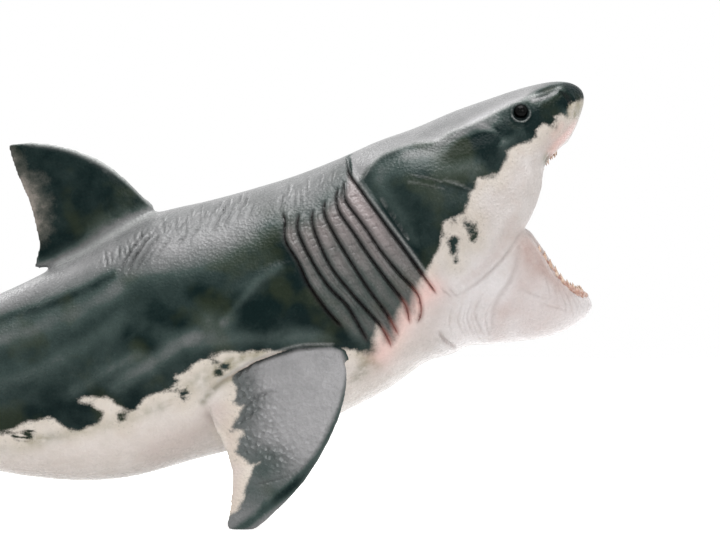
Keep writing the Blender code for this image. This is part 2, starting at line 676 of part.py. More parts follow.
def build():
    """Model the shark."""
    clear_scene()
    skin = painted_skin()
    figure = bpy.data.collections.new("shark_figurine")
    forms = bpy.data.collections.new("forms")
    bpy.context.scene.collection.children.link(figure)
    bpy.context.scene.collection.children.link(forms)

    trunk = trunk_mesh()
    trunk.name = NODE_NAME
    shark = add_object(trunk, figure, skin)

    roof = loft("mouth_roof", ROOF, HOLLOW_SIDES, HOLLOW_RING_GAP, ROOF_THROAT_TIP, ROOF_FRONT_TIP)
    jaw = loft("lower_jaw", JAW, JAW_SIDES, JAW_RING_GAP, JAW_REAR_TIP, CHIN_TIP)
    floor = loft("mouth_floor", FLOOR, HOLLOW_SIDES, HOLLOW_RING_GAP, FLOOR_THROAT_TIP, FLOOR_FRONT_TIP)
    breast_fin = breast_fin_mesh()
    belly_fin = small_fin_mesh("belly_fin_right", BELLY_FIN_BASE, BELLY_FIN_HEIGHT, BELLY_FIN_SWEEP,
                               BELLY_FIN_ROOT_Y, BELLY_FIN_SPREAD_DEG, True)
    second_fin = small_fin_mesh("second_back_fin", SECOND_BACK_FIN_BASE, SECOND_BACK_FIN_HEIGHT,
                                SECOND_BACK_FIN_SWEEP, 0.0, 0.0, False)
    under_fin = small_fin_mesh("under_tail_fin", UNDER_TAIL_FIN_BASE, UNDER_TAIL_FIN_HEIGHT,
                               UNDER_TAIL_FIN_SWEEP, 0.0, 0.0, True)
    eye = eye_mesh()
    nostril = nostril_mesh()
    upper = arch_teeth("upper_teeth", UPPER_GUM, UPPER_TEETH, UPPER_TOOTH_WIDTH, UPPER_TOOTH_LENGTH)
    lower = arch_teeth("lower_teeth", LOWER_GUM, LOWER_TEETH, LOWER_TOOTH_WIDTH, LOWER_TOOTH_LENGTH)

    steps = [
        (roof, "DIFFERENCE"),
        (jaw, "UNION"),
        (floor, "DIFFERENCE"),
        (back_fin_mesh(), "UNION"),
        (breast_fin, "UNION"),
        (mirrored(breast_fin, "breast_fin_left"), "UNION"),
        (tail_fin_mesh(), "UNION"),
        (belly_fin, "UNION"),
        (mirrored(belly_fin, "belly_fin_left"), "UNION"),
        (second_fin, "UNION"),
        (under_fin, "UNION"),
        (nostril, "DIFFERENCE"),
        (mirrored(nostril, "nostril_left"), "DIFFERENCE"),
        (eye, "UNION"),
        (mirrored(eye, "eye_left"), "UNION"),
        (upper, "UNION"),
        (lower, "UNION"),
        (ground_block_mesh(), "DIFFERENCE"),
    ]
    for mesh, operation in steps:
        form = add_object(mesh, forms, skin)
        form.hide_render = True
        form.display_type = "WIRE"
        combine(shark, form, operation)


build()
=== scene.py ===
import math

import bmesh
import bpy
import numpy as np
from mathutils import Matrix, Vector
from mathutils.bvhtree import BVHTree


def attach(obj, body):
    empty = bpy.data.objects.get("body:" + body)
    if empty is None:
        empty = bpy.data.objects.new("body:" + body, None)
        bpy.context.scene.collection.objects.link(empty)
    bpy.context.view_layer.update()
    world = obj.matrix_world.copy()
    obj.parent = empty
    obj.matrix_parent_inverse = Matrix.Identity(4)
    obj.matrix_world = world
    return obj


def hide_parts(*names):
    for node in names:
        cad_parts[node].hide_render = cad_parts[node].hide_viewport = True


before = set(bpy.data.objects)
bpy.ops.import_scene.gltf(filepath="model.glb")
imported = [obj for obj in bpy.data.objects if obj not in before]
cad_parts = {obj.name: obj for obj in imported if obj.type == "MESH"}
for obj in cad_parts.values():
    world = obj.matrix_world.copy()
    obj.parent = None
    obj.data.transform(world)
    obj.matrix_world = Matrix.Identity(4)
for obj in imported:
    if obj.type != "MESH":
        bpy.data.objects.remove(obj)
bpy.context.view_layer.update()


# The shark's body, moulded in one piece of solid resin: trunk, jaws, fins and tail.
# The mould-maker's model was sculpted in clay, so every fold, slit and wrinkle is a real
# groove or ridge in the surface.  Places are (x, z) on the side of the shark, in millimetres.
MM = 0.001
MERGE_DISTANCE = 0.005
SKIN_GRAIN_SIZE = 0.42
SKIN_TRIANGLES = 196000
SMOOTHING_ROUNDS = 110
THIN_WALL = 3.0
THICK_WALL = 9.0
RAY_LENGTH = 14.0
LINE_STEP = 0.5

GILL_SLITS = [
    [(67.6, 82.4), (68.2, 79.8), (68.3, 75.1), (71.7, 69.4), (74.6, 63.4), (79, 57.1), (83.4, 52.2)],
    [(71.9, 82), (71.4, 78.5), (72.5, 75.1), (76.4, 67.8), (80.3, 62.3), (84.7, 57.7), (89.9, 48.5)],
    [(75.6, 82.9), (75.3, 79.6), (77.4, 73.8), (80.6, 67.6), (86.5, 60.3), (93.6, 52.2), (96.2, 46.7)],
    [(78.7, 85.5), (78.5, 81.9), (81.1, 76.7), (84.7, 70.7), (89.7, 62.9), (94.6, 56.1), (98, 50.1)],
    [(82.1, 88.9), (81.6, 85.5), (82.6, 82.2), (86.3, 76.9), (89.9, 71.5), (95.1, 64.4), (99.6, 58.4),
     (100.9, 53)],
    [(83.6, 90.4), (83.5, 87.6), (84.3, 85), (88.9, 78.8), (93.3, 72.3), (98, 66.5), (102.7, 61.3),
     (103.8, 56.6), (102.7, 53.2)],
    [(84, 96.8), (84.8, 92.9), (88.2, 88), (94.4, 79.3), (99.3, 72.8), (103.5, 67), (107.9, 61)],
]
GILL_WIDTH = 4.5
SLIT_WIDTH = 0.3
SLIT_DEPTH = 0.9
STRIP_LIP = 0.55
STRIP_DIP = 0.35

EYE_PLACE = (130.1, 108.7)
EYE_RADIUS = 2.15

# Lines pressed into the clay or raised from it: where, half width, and height above the skin.
BODY_LINES = [
    # Brow and snout.
    ([(132.3, 112.3), (135, 112.7), (137.3, 113.6), (140.1, 115.2)], 0.28, -0.25),
    ([(134.4, 113.3), (137, 114.1), (139.4, 115.8)], 0.28, 0.22),
    ([(138.2, 112.6), (140, 113.9), (141.5, 115.9)], 0.3, 0.25),
    ([(141, 114.4), (142, 112.8), (143.5, 110.6)], 0.35, -0.5),
    ([(142.4, 113.2), (143.6, 111.4), (144.4, 109.4)], 0.35, 0.2),
    # Scratches on the cheek.
    ([(101.4, 92), (104.8, 91.3), (107.6, 90.6)], 0.26, -0.22),
    ([(107.2, 90.6), (109.8, 89.7), (111.8, 89.1)], 0.24, -0.18),
    ([(111.6, 89), (114.6, 88.2), (117.8, 87.8)], 0.26, -0.2),
    ([(103.2, 89.4), (105.8, 89), (108.6, 88.2)], 0.24, -0.16),
    ([(107, 86.6), (109.4, 86), (112, 85)], 0.24, -0.14),
    ([(106.4, 91.8), (107.6, 90.2), (109.2, 88.6)], 0.22, -0.12),
    # Folds at the corner of the mouth, and creases in the lower jaw.
    ([(130.2, 78), (128.1, 74.1), (122.9, 67.8), (116.6, 62.6), (113.2, 61)], 0.45, -0.4),
    ([(130.9, 77.6), (133.4, 75.4), (136.2, 71.6), (138.9, 66.6), (141.4, 63.4)], 0.35, -0.4),
    ([(130.4, 76), (132.4, 74.4), (135, 70.6), (137.3, 65.8), (139.6, 62.4)], 0.45, 0.35),
    ([(129.4, 75.1), (129.2, 71), (127.1, 64.7), (122.9, 57.9), (122.1, 50)], 0.8, -0.35),
    ([(138.6, 98.2), (137.4, 96.8), (136.6, 95.2)], 0.5, -0.55),
    ([(120.3, 61.5), (117.9, 56.6), (119.3, 51.9), (122.1, 48.5)], 0.3, -0.35),
    ([(122.4, 59.4), (120.6, 54.7), (122.1, 48.7)], 0.28, -0.3),
    ([(119, 60.6), (117, 55.6), (118.6, 50.6), (120.4, 48.4)], 0.26, -0.22),
    ([(117.2, 59.4), (115.9, 54.7), (117.7, 49.5)], 0.28, -0.3),
    ([(114.5, 58.4), (113.5, 53.7), (115.6, 49.5)], 0.28, -0.3),
    ([(116, 58.6), (114.8, 54), (116.6, 49.8)], 0.24, -0.2),
    ([(111.9, 57.4), (111.1, 53.7), (111.9, 50.6)], 0.28, -0.25),
    ([(108.4, 51.2), (109.6, 49.2), (111.4, 47.8), (113.3, 46.6)], 0.45, -0.85),
    ([(141.3, 62.6), (143.2, 58.4), (144, 54.6)], 0.26, -0.26),
    ([(142.6, 62.2), (144.6, 58.6), (145.8, 55.6)], 0.24, -0.24),
    ([(143.9, 61.6), (145.6, 58.8), (146.9, 56.6)], 0.24, -0.22),
    ([(140, 62.6), (141.6, 58.8), (142.2, 55.6)], 0.26, -0.24),
    ([(138.4, 63.6), (139.6, 60.2), (140, 57.4)], 0.26, -0.2),
    ([(136.6, 65.2), (137.4, 62), (137.6, 59.6)], 0.26, -0.18),
    ([(134.2, 59.2), (138.6, 57.6), (142.8, 56.8)], 0.26, -0.2),
    ([(129.6, 62.8), (133.8, 60.6), (137.6, 59.8)], 0.26, -0.2),
    ([(109, 62.6), (111.9, 60.3)], 0.4, -0.35),
    ([(110.8, 62.9), (113.4, 60.2)], 0.35, -0.3),
    # Wrinkles along the upper flank, and above the gills.
    ([(24.6, 66.2), (26.7, 70.4), (29.4, 74.5), (31.6, 77.4)], 0.55, -0.5),
    ([(25.7, 66.5), (27.8, 70.4), (30.4, 74.3), (32.5, 77)], 0.5, 0.55),
    ([(26.8, 66.8), (28.9, 70.7), (31.5, 74.6), (33.4, 77.2)], 0.5, -0.5),
    ([(27.8, 66.8), (30.2, 71), (32.8, 74.9), (34.3, 77)], 0.45, 0.45),
    ([(28.9, 66.8), (31.2, 70.8), (33.8, 74.7), (35.4, 76.8)], 0.5, -0.4),
    ([(30.6, 67.2), (33, 71.2), (35.2, 74.4)], 0.5, -0.3),
    ([(33.6, 69.2), (35.6, 72.4), (38, 75.8)], 0.5, -0.3),
    ([(48.9, 77.8), (51.3, 81.7), (53.9, 84.8)], 0.6, -0.4),
    ([(50.3, 78.3), (52.7, 82.4), (55, 85.4)], 0.5, 0.35),
    ([(52, 79.8), (54.4, 84), (55.4, 85.9)], 0.6, -0.4),
    ([(55.2, 80.6), (57, 84.2), (58.2, 87)], 0.5, -0.3),
    ([(58.4, 81.4), (60, 84.8)], 0.5, -0.3),
    ([(39.8, 73.6), (42.4, 76.7)], 0.6, -0.35),
    ([(42.4, 74.4), (45.2, 78.4)], 0.5, -0.25),
    ([(70.4, 84.4), (71, 88.4)], 0.4, -0.3),
    ([(71.9, 85), (72.4, 89.4)], 0.4, -0.3),
    ([(80.2, 90.2), (80.9, 93.2)], 0.4, -0.3),
    ([(66.7, 83.2), (67.8, 87.7)], 0.6, -0.45),
    ([(68.5, 86.1), (69.4, 89.9)], 0.5, -0.35),
    ([(73.7, 87), (74.2, 91.4)], 0.5, -0.3),
    ([(76.9, 88.8), (77.6, 91.8)], 0.4, -0.3),
    ([(87.3, 89.3), (88.4, 91.7), (90.2, 94.3)], 0.4, -0.35),
    ([(141.6, 114.2), (142.7, 112.9), (143.7, 111.3)], 0.5, -0.7),
]
# Muscles that show under the skin, as broad ridges and hollows.
BROAD_FORMS = [
    ([(-90, 31.5), (-45, 40), (-6.5, 58.7), (4, 63.6), (13.4, 67.8), (24.7, 73.6)], 2.2, 0.4),
    ([(-60, 36), (-9, 53.7), (-1.2, 57.1), (9.6, 65.5), (18.5, 68.6)], 1.8, -0.45),
    ([(-40, 37), (-6.2, 47.7), (1.9, 50.3), (9.4, 56.3), (19.4, 65.5)], 2.2, 0.35),
    ([(-30, 32), (-6.1, 39.1), (2, 42), (9.8, 48), (16.3, 51.9), (24.2, 55)], 2, 0.35),
    ([(22.6, 39.6), (27.1, 42.8), (33.9, 47.5), (47.9, 52.4)], 1.8, 0.35),
    ([(33.9, 41.2), (43.8, 48.3), (51.9, 54.3), (56.5, 59.5)], 1.8, -0.45),
    ([(51.9, 53.7), (56.5, 59), (61.2, 64.2), (67, 68.1), (70.1, 69.4)], 1.5, 0.55),
    ([(55.2, 62.1), (60.5, 67.8), (65.7, 70.4), (72.2, 69.4)], 1.6, -0.4),
    ([(60, 50), (68, 56), (76, 56)], 4, 0.5),
    ([(141, 115.2), (137, 114.6), (133.7, 113.3), (130.1, 111.9), (125.9, 110), (120.9, 107.2),
      (116.4, 105.1), (111.4, 103.2), (107.8, 100.9), (102, 100.3), (97.6, 99), (93.4, 97.2),
      (90.2, 94.3)], 1.3, 0.5),
    ([(125, 104.5), (119, 102), (112, 99)], 1.8, -0.35),
    ([(97, 92), (103, 90), (109, 84)], 5, 0.4),
]
FIN_LINES = [
    ([(60, 11.4), (64.5, 12.5), (69.1, 13.8)], 0.35, -0.25),
    ([(57, 31), (61.5, 34.5), (66.5, 36)], 0.6, -0.3),
    ([(56, 27), (60, 30.5), (63, 31.5)], 0.5, -0.25),
]
FIN_ROOT_FOLD = [
    (46.4, 32.9), (50.6, 37.6), (56.6, 41), (61, 43.3), (71.4, 46.7), (80.3, 47.2), (83.9, 45.9),
]
ROOT_LINES = [
    (FIN_ROOT_FOLD, 0.8, -0.8),
    ([(46.4, 32.9), (49.3, 28.2), (53.2, 24.1)], 0.5, -0.3),
]
HATCHED_LINE = [(59, 86), (53.9, 84.3), (45.5, 81.2), (35.8, 78), (28, 73.8), (19, 68.4)]
FIN_ROOT_Y = 23.6
FIN_SLOPE = 0.354
HATCH_GAP = 1.1
HATCH_LENGTH = 4.6
TICKS_A_STRIP = 7
GOLDEN_SHARE = 0.618034


def curve_point(held, share):
    """A point between the middle two of four points, on a smooth curve through them."""
    before, start, end, after = held
    return 0.5 * (2.0 * start + (end - before) * share
                  + (2.0 * before - 5.0 * start + 4.0 * end - after) * share ** 2
                  + (3.0 * start - before - 3.0 * end + after) * share ** 3)


def flow(points):
    """A smooth line through given points, as closely spaced points."""
    held = np.array([points[0], *points, points[-1]])
    line = []
    for number in range(len(points) - 1):
        steps = max(int(np.linalg.norm(held[number + 2] - held[number + 1]) / LINE_STEP), 2)
        for share in np.linspace(0.0, 1.0, steps, endpoint=False):
            line.append(curve_point(held[number:number + 4], share))
    line.append(held[-1])
    return np.array(line)


def gauge(line, places, run_on=False):
    """Signed distance of places from a line, the length run along it, and its whole length."""
    best = np.full(len(places), np.inf)
    signed = np.full(len(places), np.inf)
    along = np.zeros(len(places))
    run = 0.0
    last = len(line) - 2
    for number in range(last + 1):
        step = line[number + 1] - line[number]
        length = np.linalg.norm(step)
        offset = places - line[number]
        share = offset @ step / length ** 2
        low = -np.inf if run_on and number == 0 else 0.0
        high = np.inf if run_on and number == last else 1.0
        share = np.clip(share, low, high)
        gap = offset - share[:, None] * step
        distance = np.hypot(gap[:, 0], gap[:, 1])
        side = np.where(step[0] * offset[:, 1] - step[1] * offset[:, 0] >= 0.0, 1.0, -1.0)
        closer = distance < best
        best = np.where(closer, distance, best)
        signed = np.where(closer, side * distance, signed)
        along = np.where(closer, run + share * length, along)
        run += length
    return signed, along, run


def near(line, places, reach):
    """Which places lie in the box round a line, with a margin."""
    low = line.min(axis=0) - reach
    high = line.max(axis=0) + reach
    return np.nonzero(np.all((places > low) & (places < high), axis=1))[0]


def eased(values, low, high):
    """0 below low, 1 above high, and a smooth rise between."""
    share = np.clip((values - low) / (high - low), 0.0, 1.0)
    return share * share * (3.0 - 2.0 * share)


def inside(outline, places):
    """Which places lie inside a closed outline."""
    within = np.zeros(len(places), dtype=bool)
    for start, end in zip(outline, np.roll(outline, -1, axis=0)):
        crosses = (start[1] > places[:, 1]) != (end[1] > places[:, 1])
        rise = end[1] - start[1]
        rise = rise if abs(rise) > 1e-9 else 1e-9
        crossing = start[0] + (places[:, 1] - start[1]) / rise * (end[0] - start[0])
        within ^= crosses & (places[:, 0] < crossing)
    return within


def relax(values, edges, share, rounds):
    """Draw each vertex's values towards its neighbours' mean, some rounds over."""
    count = len(values)
    first = edges[:, 0]
    second = edges[:, 1]
    links = np.maximum(np.bincount(first, minlength=count) + np.bincount(second, minlength=count), 1)
    values = values.copy()
    for _ in range(rounds):
        for column in range(values.shape[1]):
            total = np.bincount(first, weights=values[second, column], minlength=count)
            total += np.bincount(second, weights=values[first, column], minlength=count)
            values[:, column] += share * (total / links - values[:, column])
    return values


def read_mesh(mesh):
    """The mesh's vertices and normals in millimetres, and its edges, as arrays."""
    places = np.empty(len(mesh.vertices) * 3)
    normals = np.empty(len(mesh.vertices) * 3)
    edges = np.empty(len(mesh.edges) * 2, dtype=np.int32)
    mesh.vertices.foreach_get("co", places)
    mesh.vertices.foreach_get("normal", normals)
    mesh.edges.foreach_get("vertices", edges)
    return places.reshape(-1, 3) / MM, normals.reshape(-1, 3), edges.reshape(-1, 2)


def search_tree(mesh, places):
    """A tree of the mesh's faces, in millimetres, for finding what a ray meets."""
    return BVHTree.FromPolygons(places.tolist(), [list(face.vertices) for face in mesh.polygons])


def wall_thickness(tree, places, normals):
    """How much solid lies under each vertex."""
    found = np.full(len(places), RAY_LENGTH)
    for number, (place, normal) in enumerate(zip(places.tolist(), normals.tolist())):
        inwards = -Vector(normal)
        distance = tree.ray_cast(Vector(place) + inwards * 0.05, inwards, RAY_LENGTH)[3]
        if distance is not None:
            found[number] = distance
    return found


def gill_field(side_places):
    """Where each place lies among the slits, the local strip width, and how open the slit is.

    The run is 0 on the rear slit and 6 on the front one, and rises evenly over each strip.
    """
    distances = []
    openness = []
    for slit in GILL_SLITS:
        signed, along, length = gauge(flow(slit), side_places, run_on=True)
        distances.append(signed)
        openness.append(eased(along, -0.6, 1.6) * (1.0 - eased(along, length - 2.0, length + 0.4)))
    distances = np.array(distances)
    openness = np.array(openness)
    last = len(GILL_SLITS) - 1
    run = np.where(distances[0] < 0.0, distances[0] / GILL_WIDTH, last + distances[last] / GILL_WIDTH)
    width = np.full(len(side_places), GILL_WIDTH)
    for number in range(last):
        between = (distances[number] >= 0.0) & (distances[number + 1] < 0.0)
        gap = np.maximum(distances[number] - distances[number + 1], 0.1)
        run = np.where(between, number + distances[number] / gap, run)
        width = np.where(between, gap, width)
    nearest = np.clip(np.rint(run), 0, last).astype(int)
    open_here = openness[nearest, np.arange(len(side_places))]
    open_here *= eased(run, -0.5, -0.3) * (1.0 - eased(run, last + 0.3, last + 0.5))
    return run, width, open_here


def strip_ticks():
    """Short creases across the gill strips, just below their upper ends."""
    ticks = []
    for number, slit in enumerate(GILL_SLITS[:-1]):
        line = flow(slit)
        for step in range(TICKS_A_STRIP):
            spread = ((number * TICKS_A_STRIP + step) * GOLDEN_SHARE) % 1.0
            share = 0.1 + 0.07 * step + 0.03 * spread
            start = line[int(share * (len(line) - 1))] + (0.9 + 0.5 * spread, 0.3)
            end = start + (1.3 + 1.2 * spread, 0.5 + 0.5 * spread)
            ticks.append(([start, 0.5 * (start + end), end], 0.24, -0.16 - 0.1 * spread))
    return ticks


def hatch_lines():
    """The row of short wrinkles above the flank, each a little different from the next."""
    row = flow(HATCHED_LINE)
    lines = []
    reach = 0.0
    for start, end in zip(row, row[1:]):
        reach += np.linalg.norm(end - start)
        if reach < HATCH_GAP:
            continue
        number = len(lines)
        spread = (number * GOLDEN_SHARE) % 1.0
        reach = HATCH_GAP * 0.9 * (1.0 - (spread * 3.7) % 1.0)
        turn = math.radians(28.0 + 44.0 * spread)
        along = (start - end) / np.linalg.norm(end - start)
        across = np.array([math.cos(turn) * along[0] - math.sin(turn) * along[1],
                           math.sin(turn) * along[0] + math.cos(turn) * along[1]])
        half = across * HATCH_LENGTH * (0.15 + 0.45 * ((number * GOLDEN_SHARE * 2.0) % 1.0))
        middle = start + (0.0, 2.2 * ((spread * 5.3) % 1.0) - 1.1)
        lines.append(([middle - half, middle, middle + half], 0.32, -0.16 - 0.18 * spread))
    return lines


def press(side_places, lines, strength):
    """The height that a set of lines adds at each place."""
    height = np.zeros(len(side_places))
    for points, half_width, rise in lines:
        line = flow(points)
        chosen = near(line, side_places, half_width * 3.5)
        if not len(chosen):
            continue
        signed, along, length = gauge(line, side_places[chosen])
        taper = np.sqrt(np.clip(np.sin(np.pi * np.clip(along / length, 0.02, 0.98)), 0.0, 1.0))
        core = np.exp(-(signed / half_width) ** 2)
        shoulder = np.exp(-((np.abs(signed) - 2.0 * half_width) / half_width) ** 2)
        amount = rise * taper * (core - 0.28 * shoulder)
        height[chosen] += amount * strength[chosen]
    return height


def from_eye(side_places):
    """The distance of each place from the middle of the eye."""
    return np.hypot(*(side_places - EYE_PLACE).T)


def eye_socket(side_places):
    """The lid that stands round the eye, and the hollow that the eye sits in."""
    distance = from_eye(side_places)
    hollow = -1.0 * (1.0 - eased(distance, 1.7, 2.15))
    groove = -0.2 * np.exp(-((distance - 2.2) / 0.2) ** 2)
    lid = 0.25 * np.exp(-((distance - 2.55) / 0.28) ** 2)
    around = -0.25 * np.exp(-((distance - 3.6) / 0.8) ** 2)
    return hollow + groove + lid + around


def breast_fin_share(places):
    """1 on the breast fins and on the fleshy root that they grow from, 0 on the body."""
    line = np.array([(40.0, 0.0), (45.6, 30.0), *FIN_ROOT_FOLD, (86.2, 41.0), (88.0, 20.0)])
    x, y, z = places.T
    root_line = np.interp(x, *line.T)
    below = 1.0 - eased(z - root_line, -0.3, 0.5)
    from_middle = np.abs(y) - FIN_ROOT_Y - FIN_SLOPE * (root_line - z) - 3.6 * eased(x, 82.5, 84.5)
    return below * eased(from_middle, -4.6, -3.6) * (x > 41.0) * (x < 87.0)


def side_view(places, normals):
    """Places as seen from the side, which of them face it, and which are breast fin or body."""
    fin_share = breast_fin_share(places)
    facing = eased(np.abs(normals[:, 1]), 0.06, 0.28) * (normals[:, 1] * places[:, 1] > 0.0)
    return places[:, [0, 2]], facing, fin_share, facing * (1.0 - fin_share)


def add_object(name, data):
    """A new object in the scene."""
    item = bpy.data.objects.new(name, data)
    bpy.context.scene.collection.objects.link(item)
    return item


def finished_mesh(item, name):
    """The object's mesh with its modifiers applied; the object itself goes."""
    evaluated = item.evaluated_get(bpy.context.evaluated_depsgraph_get())
    mesh = bpy.data.meshes.new_from_object(evaluated)
    mesh.name = name
    bpy.data.objects.remove(item, do_unlink=True)
    return mesh


body_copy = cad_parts["shark"].data.copy()
body_copy.materials.clear()
shape = bmesh.new()
shape.from_mesh(body_copy)
bmesh.ops.remove_doubles(shape, verts=shape.verts, dist=MERGE_DISTANCE * MM)
shape.to_mesh(body_copy)
shape.free()
clay = add_object("shark_clay", body_copy)
remesh = clay.modifiers.new("even_skin", "REMESH")
remesh.mode = "VOXEL"
remesh.voxel_size = SKIN_GRAIN_SIZE * MM

skin_mesh = finished_mesh(clay, "shark_skin")
places, normals, edges = read_mesh(skin_mesh)
thickness = wall_thickness(search_tree(skin_mesh, places), places, normals)
softness = relax(eased(thickness, THIN_WALL, THICK_WALL)[:, None], edges, 0.5, 12)[:, 0]
places = relax(places, edges, 0.5 * softness, SMOOTHING_ROUNDS)
places = relax(places, edges, 0.4, 5)
skin_mesh.vertices.foreach_set("co", (places * MM).ravel())
skin_mesh.update()

places, normals, edges = read_mesh(skin_mesh)
side_places, facing, fin_share, on_body = side_view(places, normals)
run, width, openness = gill_field(side_places)
from_slit = (run - np.rint(run)) * width
gill_height = -SLIT_DEPTH * np.exp(-(from_slit / SLIT_WIDTH) ** 2)
gill_height += np.where(from_slit > 0.0, STRIP_LIP * np.exp(-((from_slit - 1.1) / 0.9) ** 2),
                        -STRIP_DIP * np.exp(from_slit / 1.3))
height = gill_height * openness * on_body
height += press(side_places, BROAD_FORMS, on_body)
fine_lines = BODY_LINES + strip_ticks() + hatch_lines()
height += press(side_places, fine_lines, on_body)
height += press(side_places, FIN_LINES, fin_share * facing)
height += press(side_places, ROOT_LINES, facing * (np.abs(places[:, 1]) > 16.0))
height += eye_socket(side_places) * (places[:, 0] > 120.0) * facing
places = places + normals * height[:, None]
skin_mesh.vertices.foreach_set("co", (places * MM).ravel())
skin_mesh.update()

clay = add_object("shark_clay", skin_mesh)
thin_out = clay.modifiers.new("fewer_faces", "DECIMATE")
skin_mesh.calc_loop_triangles()
thin_out.ratio = min(1.0, SKIN_TRIANGLES / len(skin_mesh.loop_triangles))
skin_mesh = finished_mesh(clay, "shark_skin")


# The paint: a white belly first, then the dark back airbrushed over it with a ragged lower
# edge, and pink at the gills and in the mouth.  Over these go painted light and shade: the
# upper back and the top of the head painted paler as if lit from above, painted highlights
# on ridges and edges, and painted shade in the folds.  Each layer is a value held by the
# skin's vertices, and the finish below reads them.
BACK_BORDER = [
    (-152, 5), (-126, 2), (-112, 13), (-103, 24.5), (-97, 29), (-80, 29.5), (-62, 28), (-48, 29.5),
    (-40, 26), (-28, 26.8), (-20, 23.4), (-11.5, 23.9), (-6.2, 25), (-4.4, 24.2), (-1.8, 26.8),
    (1.1, 27.6), (6.8, 28.9), (10.2, 26.8), (12.8, 25.2), (16.2, 26), (19.9, 27.8), (20.9, 29.4),
    (19.9, 30.7), (17.3, 32.3), (13.6, 33.1), (14.7, 34.4), (18.1, 34.1), (21.5, 34.4), (24.1, 32.5),
    (26.7, 30.7), (29.8, 30.7), (30.6, 33.1), (32.7, 34.6), (37.1, 35.9), (39.8, 37.2), (39, 39.6),
    (42.4, 40.9), (45, 43), (47.9, 45.1), (51, 45.9), (56.5, 45.9), (62.2, 46.4), (68.2, 46.2),
    (74.8, 46), (82.1, 46.8), (86, 46.4), (89.4, 45.4), (91.4, 46.4), (91.2, 49.6), (92.2, 52.9),
    (93.4, 52.4), (94.6, 49.6), (96.2, 49.2), (97, 53), (98, 57), (99.2, 58.6), (100, 56.4), (101, 56.8),
    (101.8, 61), (103, 63.6), (104.9, 67), (107.7, 71.5), (109.8, 76.2), (109, 79.6), (110.4, 80.4),
    (113.8, 81.4), (116.1, 84.6), (116.1, 86.7), (117.7, 88.5), (118.5, 89.8), (117.9, 91.4), (120, 92.2),
    (123.7, 91.1), (124.2, 93.7), (126.3, 96.1), (126.1, 98.4), (128.1, 100), (131.6, 100.8),
    (134.2, 102.4), (133.9, 104.5), (136, 105.8), (138.1, 105), (139.1, 104.5), (139.4, 106.6),
    (138.6, 108.1), (140.7, 108.6), (142.3, 107.6), (142.8, 111), (145.9, 112.3), (152, 114.2),
]
OVER_THE_TOP = [(155, 140), (-155, 140)]
DARK_SPOTS = [
    (49.7, 44.3, 1.3), (51, 40.9, 1.1), (52.6, 42.2, 1), (40, 37.2, 1.4), (41.8, 34.9, 1.3),
    (52.6, 35.9, 0.9), (25.6, 28.9, 1.2), (1.6, 24.7, 1.2), (-1.8, 23.7, 0.9), (53, 25.4, 0.9),
    (54.6, 25.2, 0.7), (116.8, 79.3, 1.5), (117.3, 77.3, 1.2), (117.5, 75.6, 0.9), (112.1, 74.3, 1.4),
    (112.3, 72.6, 1.2), (112.9, 70, 0.6), (-34, 22, 1), (-30.5, 20.8, 0.7), (-55, 25.4, 0.9),
]
BREAST_FIN_BORDER = [
    (40, 52), (52, 45), (54.8, 41.3), (54.8, 38.2), (55.9, 35.3), (54.8, 32.7), (57.7, 32), (56.4, 29.4),
    (53.5, 24.9), (56.9, 25.7), (58.7, 25.5), (55.4, 20), (59.8, 16.9), (63.4, 17.4), (59.8, 14.8),
    (58, 10.4), (57.4, 7), (54.8, 3.9), (52, 1.8), (52, -6),
]
AROUND_THE_FIN = [(100, -6), (100, 60)]
BREAST_FIN_EDGE = [
    (84.2, 46.5), (85.6, 41), (84, 33.5), (81, 26), (76.6, 18.5), (69.5, 10.6), (62, 4.2), (55, -1),
]
BACK_FIN_PALE = [
    (-7, 102), (-3.3, 97.8), (-1.7, 93.3), (2, 92.2), (4.4, 91.4), (2.6, 89.3), (3.6, 87.2), (5.8, 85.6),
    (4.4, 82.7), (5.8, 79.5), (3.4, 75.8), (1, 73), (-12, 73),
]
BACK_FIN_FOOT = [(35, 84.6), (30.7, 84), (25.9, 81.9), (21.2, 79.5), (12.7, 73.9), (7.4, 70.5)]
BEHIND_THE_FIN = [(-12, 66), (-12, 110), (36, 110)]
GILL_BLUSH = [(106.4, 62.4), (102.9, 59.2), (100.3, 55.9), (98.2, 52.7), (95.6, 49.3), (93.4, 45.5)]
# Along these lines the back turns from pale grey above to dark green-grey below; the pale
# upper back is painted light, as if lit from above.
FLANK_SHADE = [
    (-150, 60), (-97, 32), (-60, 38), (-30, 43), (-6, 52), (10, 59.5), (32, 66.5), (50, 71.5), (60, 76),
    (66, 80), (76, 81.5), (83, 89), (90, 94),
]
HEAD_CREST = [
    (86.5, 88), (88.4, 91.7), (90.2, 94.3), (93.4, 97.2), (97.6, 99), (102, 100.3), (107.8, 100.9),
    (111.4, 103.2), (116.4, 105.1), (120.9, 107.2), (125.9, 110), (130.1, 111.9), (133.7, 114.2),
    (138.2, 115.8), (143, 116.6),
]
